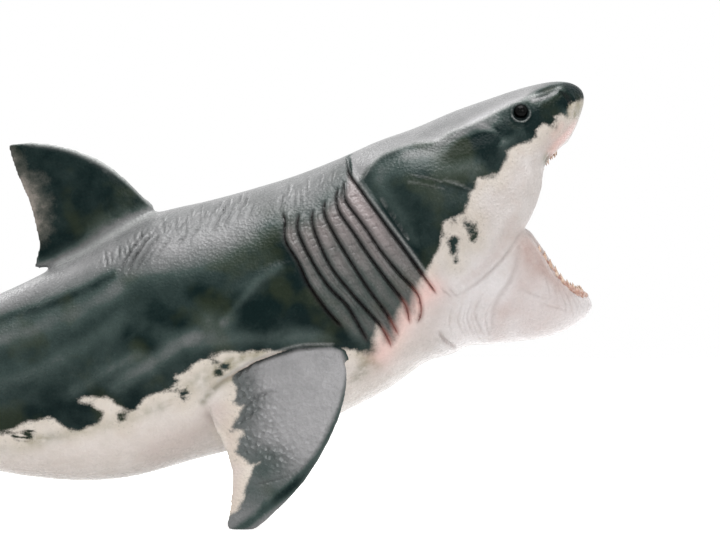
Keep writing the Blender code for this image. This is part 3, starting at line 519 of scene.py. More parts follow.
# Airbrushed strokes, partly the shark's own dark blotches and partly painted highlights on the
# muscle ridges and painted shade in the hollows: where, half width, and how much lighter or darker.
SHADE_STROKES = [
    ([(62, 54), (70, 61), (80, 55)], 6, -0.18),
    ([(51.9, 53.7), (56.5, 59), (61.2, 64.2), (67, 68.1)], 1.1, 0.17),
    ([(46, 50), (52, 52.5), (57, 56.5)], 1.6, 0.14),
    ([(-60, 36), (-9, 53.4), (4, 57.6), (14, 61.4), (23, 66)], 1.5, -0.26),
    ([(-60, 44), (-20, 54), (-6, 59.6), (8, 65.4), (22, 72)], 2.2, 0.1),
    ([(-30, 37), (-6, 48.5), (4, 52), (14, 56), (24, 62)], 2.6, 0.18),
    ([(-20, 33), (4, 41.5), (16, 48), (26, 55)], 2.2, 0.12),
    ([(24, 36.5), (34, 43.5), (41, 48.4), (48, 54)], 2.2, 0.22),
    ([(12, 34.5), (22, 41), (30, 45.5)], 1.6, 0.14),
    ([(34, 56.5), (40, 54.6), (46, 52.6)], 3, -0.16),
    ([(28, 50.5), (33.5, 46.6)], 2.4, -0.12),
    ([(45, 61.5), (56, 57)], 3, -0.14),
    ([(66, 75), (70, 69), (76, 60), (84, 51)], 3, -0.14),
    ([(36, 72), (46, 73.5), (58, 77)], 3.4, 0.16),
    ([(30, 68), (40, 68.5), (52, 70.5)], 2.6, 0.1),
    ([(-8, 24), (8, 30.5), (28, 34)], 5, -0.1),
    ([(44, 48.2), (60, 49.6), (80, 50)], 2, 0.16),
    ([(93, 93.6), (100, 96.4), (107, 97.4)], 2.6, 0.14),
    ([(91, 87), (95, 91), (102, 93.5)], 2.6, 0.1),
    ([(103, 88), (110, 86), (118, 84)], 3, 0.08),
    ([(93, 94.4), (100, 97.2), (108, 98), (114, 101), (121, 105), (126.6, 108.6)], 1.2, 0.08),
    ([(120.6, 101.6), (117, 100.4), (113.4, 99)], 1.7, -0.45),
    ([(125.2, 103.6), (122.6, 100.4), (121, 96.6)], 2, -0.35),
    ([(108.4, 100.8), (113, 102.6), (118, 104.8), (123.6, 107)], 1.2, 0.28),
    ([(119.6, 105), (122.8, 103.6), (125.4, 101)], 1, 0.32),
    ([(106, 94.6), (110.6, 94.2), (116, 94.4), (120.4, 95.6)], 1.6, 0.1),
    ([(108, 93), (113, 93.6), (117, 95.6)], 1.8, 0.1),
    ([(127.4, 101.8), (121.8, 97.4), (117.6, 92)], 1.5, 0.1),
    ([(134, 113.4), (129, 111.7), (123, 109.1), (117, 106.1)], 1.1, 0.22),
    ([(114.6, 103.6), (108, 99.6), (100, 98.2)], 1.6, 0.22),
    ([(133.4, 111.9), (136.6, 112.7), (138.6, 113.7), (140.6, 114.9)], 0.9, 0.5),
    ([(143.9, 109.4), (143.4, 107.6), (142, 104.8)], 1.8, 0.35),
    ([(146.5, 117.5), (146.4, 111.5)], 2.4, -0.5),
    ([(132.6, 105.4), (136, 107.6), (137.6, 110.2)], 1.4, -0.2),
    ([(140.6, 114.4), (141.4, 112.2), (142.8, 110.4)], 0.55, -0.5),
    ([(92.4, 91), (96, 85), (102, 75)], 1.6, 0.12),
    ([(93.6, 82), (99.6, 74.4), (105, 67.4)], 2.2, -0.1),
]
# Pink-grey on the white paint, partly the skin's own pink flush and partly painted shade on the
# side of the lower jaw under the cheek: where, half width, how strong.
FLUSH_AND_SHADE_STROKES = [
    ([(130.2, 75.5), (131.5, 68), (128.5, 58)], 3.2, 0.5),
    ([(131.5, 74.5), (136.5, 67), (143, 61)], 1.6, 0.5),
    ([(125, 56), (124, 49.5)], 2.5, 0.5),
    ([(120.5, 58), (117, 50)], 4, 0.15),
    ([(110, 60), (104, 50), (90, 40)], 3.5, 0.3),
    ([(127.5, 80), (123, 71), (116, 64.5)], 1.6, 0.35),
    ([(145.4, 106), (142.4, 103), (139.8, 100.6), (138.2, 98.4)], 1.3, 1),
    ([(140.6, 105.4), (138, 102.4), (136.2, 99.4)], 1.6, 0.35),
    ([(134, 70), (139, 60), (134, 53)], 6, 0.5),
    ([(118, 78), (124, 84), (129, 92)], 3, 0.12),
    ([(52.5, 30), (55.5, 20), (54.5, 6)], 2.5, 0.55),
    ([(38, 25), (10, 17), (-20, 13)], 5, 0.2),
    ([(50, 30), (44, 24), (34, 18)], 4, 0.4),
]
# The same red-pink as at the gills, on the lips.
LIP_STROKES = [
    ([(145.2, 105.6), (142.4, 102.8), (139.8, 100.4), (138.2, 98.2)], 1.1, 0.9),
    ([(141, 105.4), (138.4, 102.4)], 0.8, 0.35),
]
# Grey-green laid onto the white under the edge of the back, olive along the root of the fin,
# and a little more at the front of the fin and on the head.
GREY_GREEN_STROKES = [
    ([(2, 22.6), (14, 25), (24, 27.6), (36, 31.6)], 1.5, 0.55),
    ([(42, 36.4), (47, 39.2), (54, 42.4)], 2.4, 0.6),
    ([(90.8, 47), (89.6, 43.6), (87.8, 39.6)], 1.5, 0.9),
    ([(141.6, 110), (145.4, 110.6), (147.4, 110.4)], 1.6, 1),
    ([(143.6, 108.4), (146, 107.4), (146.6, 105)], 1.3, 0.8),
    ([(116, 77), (109, 64)], 2.4, 0.12),
    ([(139, 99.5), (137.2, 97.6), (136.6, 95.6)], 0.9, 0.9),
    ([(-30, 19), (-8, 19.5), (4, 22)], 2, 0.3),
    ([(46.8, 33), (50.6, 37), (56.6, 40.2)], 1.1, 0.7),
    ([(50.4, 41.4), (55, 43.6), (62, 45.6)], 1.3, 0.85),
    ([(88, 45.4), (91, 44), (92.4, 42.4)], 1.4, 0.9),
]
# Painted highlights on ridges, fin edges and the rims of scratches, as where light catches them.
HIGHLIGHT_LINES = [
    ([(133.7, 113.6), (130.1, 112), (125.9, 110.2), (120.9, 107.4), (116.4, 105.3), (111.4, 103.4),
      (107.8, 101.2), (102, 100.5), (97.6, 99.2), (93.4, 97.4), (90.2, 94.3), (88.4, 91.7)], 0.6, 0.35),
    ([(86.2, 92.3), (89.6, 87.4), (95.6, 79.3), (100.5, 72.8), (104.7, 67)], 0.4, 0.5),
    ([(93.4, 86), (96.6, 81), (100.4, 75.4)], 0.25, 0.35),
    ([(50.6, 38.4), (56.6, 41.8), (61, 44.1), (71.4, 47.5), (80.3, 47.9)], 0.35, 0.5),
    ([(33.4, 84.4), (26.4, 91.2), (18, 96.6), (9.4, 100), (0, 101.4)], 0.8, 1),
    ([(133, 112.9), (136.6, 114), (140.4, 115.6)], 0.3, 0.35),
    ([(101.2, 92.3), (105.4, 91.5), (109.2, 90.3)], 0.2, 0.26),
    ([(109.8, 90.8), (113.5, 89.6), (117.5, 88)], 0.2, 0.24),
    ([(100.4, 90.5), (105, 89.5), (110, 88.4)], 0.2, 0.16),
    ([(34, 82.6), (30, 80.8), (22, 76.4), (14, 71.6), (8, 68.6)], 0.9, 0.42),
]


def filled(border, closing, side_places):
    """Signed distance from a paint border, more than 0 where the paint lies."""
    line = np.array(border)
    signed = gauge(line, side_places)[0]
    within = inside(np.array(border + closing), side_places)
    return np.where(within, np.abs(signed), -np.abs(signed))


def brushed(side_places, strokes):
    """The sum of soft strokes at each place."""
    total = np.zeros(len(side_places))
    for points, half_width, amount in strokes:
        line = flow(points)
        chosen = near(line, side_places, half_width * 3.0)
        if len(chosen):
            signed = gauge(line, side_places[chosen])[0]
            total[chosen] += amount * np.exp(-(signed / half_width) ** 2)
    return total


def hidden_in_mouth(tree, places, normals):
    """1 on what the cheeks and the jaw hide from the side."""
    hidden = np.zeros(len(places))
    in_head = (places[:, 0] > 100.0) & (places[:, 2] > 44.0) & (places[:, 2] < 106.0)
    for number in np.nonzero(in_head)[0]:
        start = Vector(places[number]) + Vector(normals[number]) * 0.25
        sides = (1.0, -1.0) if abs(start.y) < 1.5 else (math.copysign(1.0, start.y),)
        if all(tree.ray_cast(start, Vector((0.0, side, 0.0)))[0] is not None for side in sides):
            hidden[number] = 1.0
    return hidden


places, normals, edges = read_mesh(skin_mesh)
side_places, facing, fin_share, on_body = side_view(places, normals)
x, y, z = places.T
normal_x, normal_y, normal_z = normals.T
tree = search_tree(skin_mesh, places)
thickness = wall_thickness(tree, places, normals)
mouth = relax(hidden_in_mouth(tree, places, normals)[:, None], edges, 0.5, 4)[:, 0]

back_edge = filled(BACK_BORDER, OVER_THE_TOP, side_places)
for spot_x, spot_z, radius in DARK_SPOTS:
    distance = np.hypot(x - spot_x, (z - spot_z) * 0.85)
    back_edge = np.maximum(back_edge, (radius - distance) * facing)
fin_edge = filled(BREAST_FIN_BORDER, AROUND_THE_FIN, side_places)
outer_face = normal_y * np.sign(y) * 0.91 + normal_z * 0.41
fin_paint = np.where(outer_face > -0.1, fin_edge, 4.5 - z)
back_edge = back_edge * (1.0 - fin_share) + fin_paint * fin_share
belly_fin = (x > -60.0) & (x < -12.0) & (np.abs(y) > 8.0) & (z < 19.0) & (thickness < 3.4)
back_edge = np.where(belly_fin, np.where(normal_z > 0.1, 3.0, -3.0), back_edge)
back_edge = np.clip(back_edge, -12.0, 12.0)

on_back_fin = (np.abs(y) < 4.0) & (filled(BACK_FIN_FOOT, BEHIND_THE_FIN, side_places) > 0.0)
on_back_fin = relax(on_back_fin[:, None].astype(float), edges, 0.5, 3)[:, 0]
fin_pale = filled(BACK_FIN_PALE, [(-12.0, 104.0)], side_places) * on_back_fin
fin_pale = np.where(on_back_fin > 0.02, fin_pale, -6.0)

run, width, openness = gill_field(side_places)
above_shade = filled(FLANK_SHADE, [(95.0, 140.0), (-155.0, 140.0)], side_places)
# Painted light: paler above the shade line and where the back faces up, as if lit from above.
body_tone_and_light = 0.13 + 0.41 * eased(above_shade, -5.0, 8.0) + 0.04 * eased(normal_z, 0.3, 0.9)
body_tone_and_light -= 0.05 * np.exp(-np.maximum(back_edge, 0.0) / 4.0)
# Painted light: the top of the head above the crest is painted pale, as if lit from above.
above_crest = filled(HEAD_CREST, [(150.0, 117.0), (150.0, 140.0), (80.0, 140.0)], side_places)
head_tone_and_light = 0.06 + 0.58 * eased(above_crest, -0.4, 0.7) - 0.35 * eased(x, 132.0, 142.0)
in_head = eased(run, 5.9, 6.2)
tone = body_tone_and_light * (1.0 - in_head) + np.maximum(head_tone_and_light, 0.03) * in_head
tone += brushed(side_places, SHADE_STROKES) * on_body
upper_end = np.interp(run, np.arange(len(GILL_SLITS)), [slit[0][1] for slit in GILL_SLITS])
in_gills = eased(run, -0.3, 0.2) * (1.0 - eased(run, 5.9, 6.1)) * eased(z, 46.0, 52.0)
in_gills *= (1.0 - eased(z - upper_end, -6.0, 0.5)) * on_body
# Painted shade: each gill strip is lighter across its middle and darker toward the slits.
strip_tone_and_shade = 0.11 + 0.20 * np.sin(math.pi * (run - np.floor(run)))
strip_tone_and_shade += 0.26 * eased(z, 58.0, 88.0) + 0.06 * eased(run, 3.5, 5.5)
tone = tone * (1.0 - in_gills) + strip_tone_and_shade * in_gills
# Painted light: the dark back fin is painted paler where it faces up, forward or back.
back_fin_lit_share = eased(np.abs(normal_x) + np.maximum(normal_z, 0.0), 0.5, 0.95) * (normal_z > 0.0)
tone = tone * (1.0 - on_back_fin) + (0.03 + 0.45 * back_fin_lit_share) * on_back_fin
rim = np.abs(gauge(flow(BREAST_FIN_EDGE), side_places)[0])
fin_tone = 0.22 + 0.51 * eased(rim, 0.3, 2.0) * (0.62 + 0.38 * eased(z, 10.0, 26.0))
fin_tone -= 0.30 * (1.0 - eased(fin_edge, 1.5, 9.0)) * eased(z, 10.0, 16.0)
fin_tone -= 0.22 * np.exp(-((z - 9.0 - 0.15 * (x - 60.0)) / 3.0) ** 2)
tone = tone * (1.0 - fin_share) + fin_tone * fin_share

leathery = fin_share * eased(fin_edge, -0.5, 1.5) * (1.0 - 0.8 * eased(fin_edge, 3.0, 12.0))
blush = np.exp(-(gauge(flow(GILL_BLUSH), side_places)[0] / 3.4) ** 2) * on_body
# Painted shade in the pressed-in lines and folds, in the eye's socket and in the fin's root fold.
line_height = press(side_places, fine_lines, on_body)
line_height += press(side_places, FIN_LINES, fin_share * facing)
eye_distance = from_eye(side_places)
at_head = (x > 120.0) & (z > 100.0)
crease_shade = np.maximum(np.clip(-line_height / 0.6, 0.0, 1.0), (1.0 - eased(eye_distance, 2.1, 2.35)) * at_head)
root_fold_shade = np.clip(-press(side_places, ROOT_LINES[:1], facing) / 0.8, 0.0, 1.0)
root_fold_shade *= (0.15 + 0.85 * eased(x, 48.0, 58.0)) * (np.abs(y) > 16.0)
# Painted highlights along the ridges, fin edges and scratch rims.
pale = brushed(side_places, HIGHLIGHT_LINES) * np.maximum(on_body, 0.8 * on_back_fin)
# Painted highlight on the lid round the eye, stronger on its lower side.
below_eye = 0.6 + 0.4 * np.clip((EYE_PLACE[1] - z) / 2.0, -1.0, 1.0)
pale += 0.5 * below_eye * np.exp(-((eye_distance - 2.45) / 0.16) ** 2) * at_head * facing

PAINT_LAYERS = {
    "back_edge": back_edge,
    "fin_pale": fin_pale,
    "tone": np.clip(tone, 0.0, 1.0),
    "blush": np.maximum(blush, brushed(side_places, LIP_STROKES) * facing),
    "flush_and_shade": np.clip(brushed(side_places, FLUSH_AND_SHADE_STROKES) * facing, 0.0, 1.0),
    "grey_green": np.clip(brushed(side_places, GREY_GREEN_STROKES) * facing, 0.0, 1.0),
    "crease_shade": np.maximum(crease_shade, root_fold_shade),
    "pale": np.clip(pale, 0.0, 1.0),
    "strips": in_gills,
    "leathery": leathery * eased(z, 10.0, 20.0),
    "head": eased(x, 84.0, 112.0),
    "jaw": eased(x, 104.0, 118.0) * (1.0 - eased(z, 62.0, 78.0)),
    "gill_run": run,
    "gill_width": width,
    "gill_open": openness * on_body,
    "mouth": mouth,
    "throat": mouth * (1.0 - eased(x, 108.0, 130.0)),
    "breast_fin": fin_share,
}
for layer, values in PAINT_LAYERS.items():
    attribute = skin_mesh.attributes.new(layer, "FLOAT", "POINT")
    attribute.data.foreach_set("value", values.astype(np.float32))


def linear(red, green, blue):
    """A paint colour, given as 0 to 255, as the linear value Blender takes."""
    parts = []
    for part in (red, green, blue):
        share = part / 255.0
        parts.append(share / 12.92 if share <= 0.04045 else ((share + 0.055) / 1.055) ** 2.4)
    return (*parts, 1.0)


class Finish:
    """A material under construction, with short ways to add and join its nodes."""

    def __init__(self, name):
        self.material = bpy.data.materials.new(name)
        self.material.use_nodes = True
        self.tree = self.material.node_tree
        self.shader = self.tree.nodes["Principled BSDF"]
        self.place = self.tree.nodes.new("ShaderNodeTexCoord").outputs["Object"]

    def feed(self, socket, value):
        """Join a socket to an output, or set it to a plain value."""
        if isinstance(value, bpy.types.NodeSocket):
            self.tree.links.new(value, socket)
        else:
            socket.default_value = value

    def coat(self, colour, rough, relief=None):
        """Give the surface its colour, its roughness and, where it has any, its relief."""
        self.feed(self.shader.inputs["Base Color"], colour)
        self.feed(self.shader.inputs["Roughness"], rough)
        if relief is not None:
            self.feed(self.shader.inputs["Normal"], relief)

    def math(self, operation, first, second=0.0):
        """One arithmetic step."""
        step = self.tree.nodes.new("ShaderNodeMath")
        step.operation = operation
        self.feed(step.inputs[0], first)
        self.feed(step.inputs[1], second)
        return step.outputs[0]

    def times(self, first, second):
        """Two values multiplied."""
        return self.math("MULTIPLY", first, second)

    def stray(self, value, noise, amount):
        """A value that strays up and down with a noise."""
        return self.math("ADD", value, self.times(self.math("SUBTRACT", noise, 0.5), amount))

    def layer(self, name):
        """A paint layer held by the vertices."""
        step = self.tree.nodes.new("ShaderNodeAttribute")
        step.attribute_name = name
        return step.outputs["Fac"]

    def noise(self, size, detail=3.0):
        """Cloudy unevenness with features of about this size in millimetres."""
        step = self.tree.nodes.new("ShaderNodeTexNoise")
        self.feed(step.inputs["Vector"], self.place)
        step.inputs["Scale"].default_value = 1.0 / (size * MM)
        step.inputs["Detail"].default_value = detail
        return step.outputs["Fac"]

    def cells(self, size):
        """Distance from the middle of the nearest cell, for pores and leathery skin."""
        step = self.tree.nodes.new("ShaderNodeTexVoronoi")
        self.feed(step.inputs["Vector"], self.place)
        step.inputs["Scale"].default_value = 1.0 / (size * MM)
        return step.outputs["Distance"]

    def between(self, value, low, high, to_low=0.0, to_high=1.0):
        """A value spread from one range onto another, and kept inside it."""
        step = self.tree.nodes.new("ShaderNodeMapRange")
        step.interpolation_type = "SMOOTHSTEP"
        self.feed(step.inputs["Value"], value)
        ends = {"From Min": low, "From Max": high, "To Min": to_low, "To Max": to_high}
        for name, end in ends.items():
            step.inputs[name].default_value = end
        return step.outputs["Result"]

    def mix(self, share, under, over, way="MIX"):
        """One colour laid over another."""
        step = self.tree.nodes.new("ShaderNodeMix")
        step.data_type = "RGBA"
        step.blend_type = way
        self.feed(step.inputs["Factor"], share)
        self.feed(step.inputs[6], under)
        self.feed(step.inputs[7], over)
        return step.outputs[2]

    def ramp(self, value, stops):
        """A run of colours."""
        step = self.tree.nodes.new("ShaderNodeValToRGB")
        self.feed(step.inputs["Fac"], value)
        marks = step.color_ramp.elements
        while len(marks) < len(stops):
            marks.new(0.5)
        for mark, (position, colour) in zip(marks, stops):
            mark.position = position
            mark.color = colour
        return step.outputs["Color"]

    def bump(self, height, depth, strength=1.0, under=None):
        """Relief too fine to model, its depth in millimetres."""
        step = self.tree.nodes.new("ShaderNodeBump")
        self.feed(step.inputs["Height"], height)
        step.inputs["Distance"].default_value = depth * MM
        step.inputs["Strength"].default_value = strength
        if under is not None:
            self.feed(step.inputs["Normal"], under)
        return step.outputs["Normal"]


def add_piece(name, mesh, finish):
    """A smooth painted piece that rides on the body."""
    for face in mesh.polygons:
        face.use_smooth = True
    mesh.materials.clear()
    mesh.materials.append(finish.material)
    piece = add_object(name, mesh)
    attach(piece, "root")
    return piece


skin = Finish("painted_shark_skin")
cloud = skin.noise(5.0, 4.0)
ragged = skin.noise(2.2, 5.0)
fine = skin.noise(0.45)
blushing = skin.layer("blush")

# The airbrushed edge between the back and the belly is torn by two sizes of noise.
edge = skin.stray(skin.stray(skin.layer("back_edge"), ragged, 1.7), fine, 1.1)
edge = skin.math("DIVIDE", edge, skin.math("ADD", skin.times(blushing, 3.0), 1.0))
dark_share = skin.between(edge, -0.75, 0.55)

# The tone layer holds painted light and shade as well as the paint's own tone.
tone_and_light_value = skin.stray(skin.stray(skin.layer("tone"), cloud, 0.22), fine, 0.08)
dark_paint = skin.ramp(tone_and_light_value, [
    (0.0, linear(12, 27, 27)), (0.25, linear(52, 66, 63)), (0.5, linear(100, 102, 102)),
    (0.75, linear(146, 145, 146)), (1.0, linear(178, 177, 180)),
])
olive = skin.between(skin.noise(14.0), 0.5, 0.64, 0.0, 0.45)
olive = skin.times(olive, skin.between(tone_and_light_value, 0.05, 0.7, 1.0, 0.0))
dark_paint = skin.mix(olive, dark_paint, linear(52, 58, 40))
brown_strips = skin.mix(skin.layer("strips"), (1.0, 1.0, 1.0, 1.0), (1.16, 0.97, 0.95, 1.0))
dark_paint = skin.mix(1.0, dark_paint, brown_strips, "MULTIPLY")

# Painted light: the belly is painted whiter and the head greyer, for the light the underside misses.
head_white = skin.mix(skin.between(cloud, 0.3, 0.7), linear(186, 179, 175), linear(198, 192, 189))
belly_white = skin.mix(skin.between(cloud, 0.3, 0.7), linear(208, 200, 193), linear(218, 211, 205))
white_paint = skin.mix(skin.layer("head"), belly_white, head_white)
near_edge = skin.between(skin.layer("back_edge"), -5.0, -0.5)
speckles = skin.times(near_edge, skin.between(skin.noise(0.7), 0.60, 0.72))
WHITE_TINTS = [
    (skin.times(skin.layer("jaw"), skin.between(cloud, 0.3, 0.7, 0.7, 1.0)), linear(211, 206, 206)),
    (skin.between(ragged, 0.45, 0.8, 0.0, 0.18), linear(188, 168, 158)),
    # Pink flush, partly painted shade on the side of the lower jaw.
    (skin.times(skin.layer("flush_and_shade"), skin.between(cloud, 0.3, 0.7, 0.6, 1.0)), linear(176, 156, 150)),
    (skin.times(skin.layer("grey_green"), skin.between(ragged, 0.3, 0.6, 0.3, 1.0)), linear(126, 124, 106)),
    (skin.times(near_edge, 0.3), linear(192, 178, 154)),
    (skin.times(speckles, 0.35), linear(110, 108, 100)),
    (skin.times(blushing, 0.7), linear(222, 184, 177)),
]
for share, colour in WHITE_TINTS:
    white_paint = skin.mix(share, white_paint, colour)
paint = skin.mix(dark_share, white_paint, dark_paint)

pale_fin = skin.stray(skin.stray(skin.layer("fin_pale"), ragged, 5.5), fine, 2.0)
pale_fin_colour = skin.mix(skin.between(pale_fin, 0.5, 5.0), linear(90, 90, 84), linear(166, 156, 148))
paint = skin.mix(skin.between(pale_fin, -2.6, 2.0, 0.0, 0.9), paint, pale_fin_colour)
# Painted highlights on the ridges and edges.
highlight_share = skin.times(skin.layer("pale"), skin.between(fine, 0.3, 0.6, 0.6, 1.0))
paint = skin.mix(highlight_share, paint, linear(178, 180, 178))

# The slits are thin dark lines, painted shade in each groove, with a softer painted shade each
# side; at the blush both turn red.
run_value = skin.layer("gill_run")
slit_gap = skin.math("SUBTRACT", run_value, skin.math("ROUND", run_value))
slit_gap = skin.times(skin.math("ABSOLUTE", slit_gap), skin.layer("gill_width"))
slit_share = skin.times(skin.between(slit_gap, 0.06, 0.34, 0.95, 0.0), skin.layer("gill_open"))
slit_colour = skin.mix(skin.between(blushing, 0.15, 0.6), linear(30, 26, 26), linear(134, 88, 80))
soft_shade = skin.times(skin.between(slit_gap, 0.1, 1.3, 0.4, 0.0), skin.layer("gill_open"))
paint = skin.mix(soft_shade, paint, skin.mix(blushing, linear(58, 54, 56), linear(190, 134, 127)))
paint = skin.mix(slit_share, paint, slit_colour)
# Painted shade in the folds: warm grey on the white paint, near-black on the dark.
crease_shade_share = skin.times(skin.layer("crease_shade"), skin.between(dark_share, 0.0, 1.0, 0.45, 0.75))
crease_shade_colour = skin.mix(dark_share, linear(128, 108, 102), linear(22, 26, 27))
paint = skin.mix(crease_shade_share, paint, crease_shade_colour)

inside_paint = skin.mix(skin.between(ragged, 0.35, 0.65), linear(206, 150, 142), linear(188, 122, 116))
inside_paint = skin.mix(skin.layer("throat"), inside_paint, linear(96, 36, 34))
paint = skin.mix(skin.layer("mouth"), paint, inside_paint)

rough = skin.between(ragged, 0.3, 0.7, 0.22, 0.36)
rough = skin.math("SUBTRACT", rough, skin.times(skin.layer("mouth"), 0.12))
relief = skin.bump(skin.cells(0.85), 0.2, 0.5)
relief = skin.bump(skin.noise(0.55, 2.0), 0.12, 0.8, relief)
relief = skin.bump(skin.times(skin.cells(1.5), skin.layer("leathery")), 1.0, 1.0, relief)
skin.coat(paint, rough, relief)
sheen = skin.between(tone_and_light_value, 0.0, 0.45, 0.04, 0.32)
sheen = skin.math("MAXIMUM", sheen, skin.between(dark_share, 0.0, 1.0, 0.3, 0.0))
skin.feed(skin.shader.inputs["Specular IOR Level"], sheen)

shark_skin = add_piece("shark_skin", skin_mesh, skin)
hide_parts("shark")


# The eyes: two balls moulded with the head and painted gloss black, sunk into their sockets so
# that the lid stands round them.  The pale ring on the lid is a painted highlight in the skin's paint.
EYE_PROUD = 0.55
SOCKET_DEPTH = 0.9


def mesh_from(name, shape):
    """The finished shape as a mesh."""
    mesh = bpy.data.meshes.new(name)
    shape.to_mesh(mesh)
    shape.free()
    return mesh


eye_paint = Finish("gloss_black_eye")
eye_colour = eye_paint.ramp(eye_paint.noise(0.8), [(0.3, linear(3, 4, 4)), (0.7, linear(8, 10, 9))])
eye_paint.coat(eye_colour, eye_paint.between(eye_paint.noise(1.5), 0.3, 0.7, 0.05, 0.11))
eye_paint.shader.inputs["Specular IOR Level"].default_value = 0.04
eye_paint.shader.inputs["Coat Weight"].default_value = 0.05
eye_paint.shader.inputs["Coat Roughness"].default_value = 0.03

for side, label in ((-1.0, "right"), (1.0, "left")):
    start = Vector((EYE_PLACE[0], 60.0 * side, EYE_PLACE[1]))
    socket = tree.ray_cast(start, Vector((0.0, -side, 0.0)))[0]
    ball = bmesh.new()
    bmesh.ops.create_uvsphere(ball, u_segments=40, v_segments=24, radius=EYE_RADIUS * MM)
    depth = EYE_RADIUS - SOCKET_DEPTH - EYE_PROUD
    middle = Vector((EYE_PLACE[0], socket.y - side * depth, EYE_PLACE[1]))
    bmesh.ops.translate(ball, vec=middle * MM, verts=ball.verts)
    add_piece(f"eye_{label}", mesh_from(f"eye_{label}", ball), eye_paint)


# The gums and teeth, moulded with the jaws and picked out by hand: bumpy pink gums, and
# ivory teeth clouded with a thin brown stain.
UPPER_GUM = [
    (129.2, 16.5, 81.8), (131.6, 15.1, 86), (133.2, 13.6, 90), (136, 10.2, 95.8), (138.6, 5.7, 98.9),
    (139.6, 0, 99.9),
]
UPPER_POINTING = [(0.6, -0.8), (0.56, -0.83), (0.5, -0.87), (0.36, -0.93), (0.22, -0.98), (0.18, -0.98)]
LOWER_GUM = [
    (134, 15.9, 74.2), (137.4, 14, 69.4), (140.4, 12, 65.2), (143.8, 9.2, 62.3), (146.2, 5.4, 61.2),
    (147, 0, 60.8),
]
LOWER_POINTING = [(0.1, 0.99), (0.05, 1), (-0.1, 0.99), (-0.2, 0.98), (-0.28, 0.96), (-0.3, 0.95)]
TEETH_A_SIDE = 10
ROW_STEPS = 24


def smooth_row(stations, pointing):
    """Points round one gum, from the corner of the mouth to the middle, with their directions."""
    table = np.hstack([stations, pointing])
    past_middle = table[-2] * (1.0, -1.0, 1.0, 1.0, 1.0)
    held = np.vstack([2.0 * table[0] - table[1], table, past_middle])
    row = []
    for number in np.linspace(0.0, len(table) - 1.0, ROW_STEPS * (len(table) - 1) + 1):
        index = min(int(number), len(table) - 2)
        row.append(curve_point(held[index:index + 4], number - index))
    return np.array(row)


def blade():
    """One tooth, one high, one wide and one thick: hollowed sides, a thick root, a sharp point."""
    tooth = bmesh.new()
    bmesh.ops.create_cone(tooth, cap_ends=True, segments=10, radius1=0.5, radius2=0.03, depth=1.0)
    tall = [edge for edge in tooth.edges if abs(edge.verts[0].co.z - edge.verts[1].co.z) > 0.5]
    bmesh.ops.subdivide_edges(tooth, edges=tall, cuts=5)
    for corner in tooth.verts:
        up = corner.co.z + 0.5
        full = max(1.0 - up, 0.02)
        girth = full ** 0.85 * (1.0 + 0.25 * math.sin(math.pi * min(up * 1.6, 1.0)))
        turn = math.atan2(corner.co.y, corner.co.x)
        corner.co = Vector((math.cos(turn) * 0.5 * girth, math.sin(turn) * 0.5 * girth, up))
    return mesh_from("tooth_blade", tooth)


def tooth_row(name, stations, pointing, width, length, thickness, sink, finish):
    """All the teeth of one jaw."""
    row = smooth_row(stations, pointing)
    steps = np.linalg.norm(np.diff(row[:, :3], axis=0), axis=1)
    runs = np.append(0.0, np.cumsum(steps))
    teeth = bmesh.new()
    one_tooth = blade()
    for number in range(TEETH_A_SIDE):
        target = runs[-1] * (number + 0.5) / TEETH_A_SIDE
        index = max(int(np.searchsorted(runs, target)), 1)
        size = 0.62 + 0.38 * math.sin(math.pi / 2.0 * (number + 1.0) / TEETH_A_SIDE)
        uneven = 0.92 + 0.16 * ((number * GOLDEN_SHARE) % 1.0)
        for side in (-1.0, 1.0):
            root = Vector(row[index][:3] * (1.0, side, 1.0))
            before = Vector(row[index - 1][:3] * (1.0, side, 1.0))
            way = Vector((row[index][3], 0.0, row[index][4])).normalized()
            outward = (root - before).cross(way).normalized()
            across = outward.cross(way).normalized()
            teeth.from_mesh(one_tooth)
            teeth.verts.ensure_lookup_table()
            turn = Matrix((across * width * size, outward * thickness,
                           way * (length + sink) * size * uneven)).transposed().to_4x4()
            stand = Matrix.Translation((root - way * sink) * MM) @ Matrix.Scale(MM, 4) @ turn
            bmesh.ops.transform(teeth, matrix=stand, verts=teeth.verts[-len(one_tooth.vertices):])
    bmesh.ops.recalc_face_normals(teeth, faces=teeth.faces)
    add_piece(name, mesh_from(name, teeth), finish)


def gum_bead(name, stations, pointing, thick, sink, finish):
    """The gum of one jaw: a bead round the mouth, swollen at each tooth."""
    row = smooth_row(stations, pointing)
    both = np.vstack([row * (1.0, -1.0, 1.0, 1.0, 1.0), row[-2::-1]])
    bead = bpy.data.curves.new(name, "CURVE")
    bead.dimensions = "3D"
    bead.bevel_depth = thick * MM
    bead.bevel_resolution = 4
    bead.use_fill_caps = True
    line = bead.splines.new("POLY")
    line.points.add(len(both) - 1)
    for number, (point, (x, y, z, way_x, way_z)) in enumerate(zip(line.points, both)):
        point.co = ((x - way_x * sink) * MM, y * MM, (z - way_z * sink) * MM, 1.0)
        from_end = min(number, len(both) - 1 - number) / len(both)
        swelling = 0.14 * math.cos(2.0 * math.pi * TEETH_A_SIDE * number / (len(row) - 1.0) + math.pi)
        point.radius = min(1.0, 0.15 + 2.6 * from_end) * (1.0 + swelling)
    add_piece(name, finished_mesh(add_object(name, bead), name), finish)


gum_paint = Finish("pink_gum")
gum_colour = gum_paint.ramp(gum_paint.noise(1.1, 4.0), [
    (0.3, linear(132, 88, 76)), (0.5, linear(176, 138, 122)), (0.72, linear(204, 180, 168))])
gum_rough = gum_paint.between(gum_paint.noise(0.8), 0.3, 0.7, 0.22, 0.36)
gum_paint.coat(gum_colour, gum_rough, gum_paint.bump(gum_paint.noise(0.7, 4.0), 0.25, 0.8))

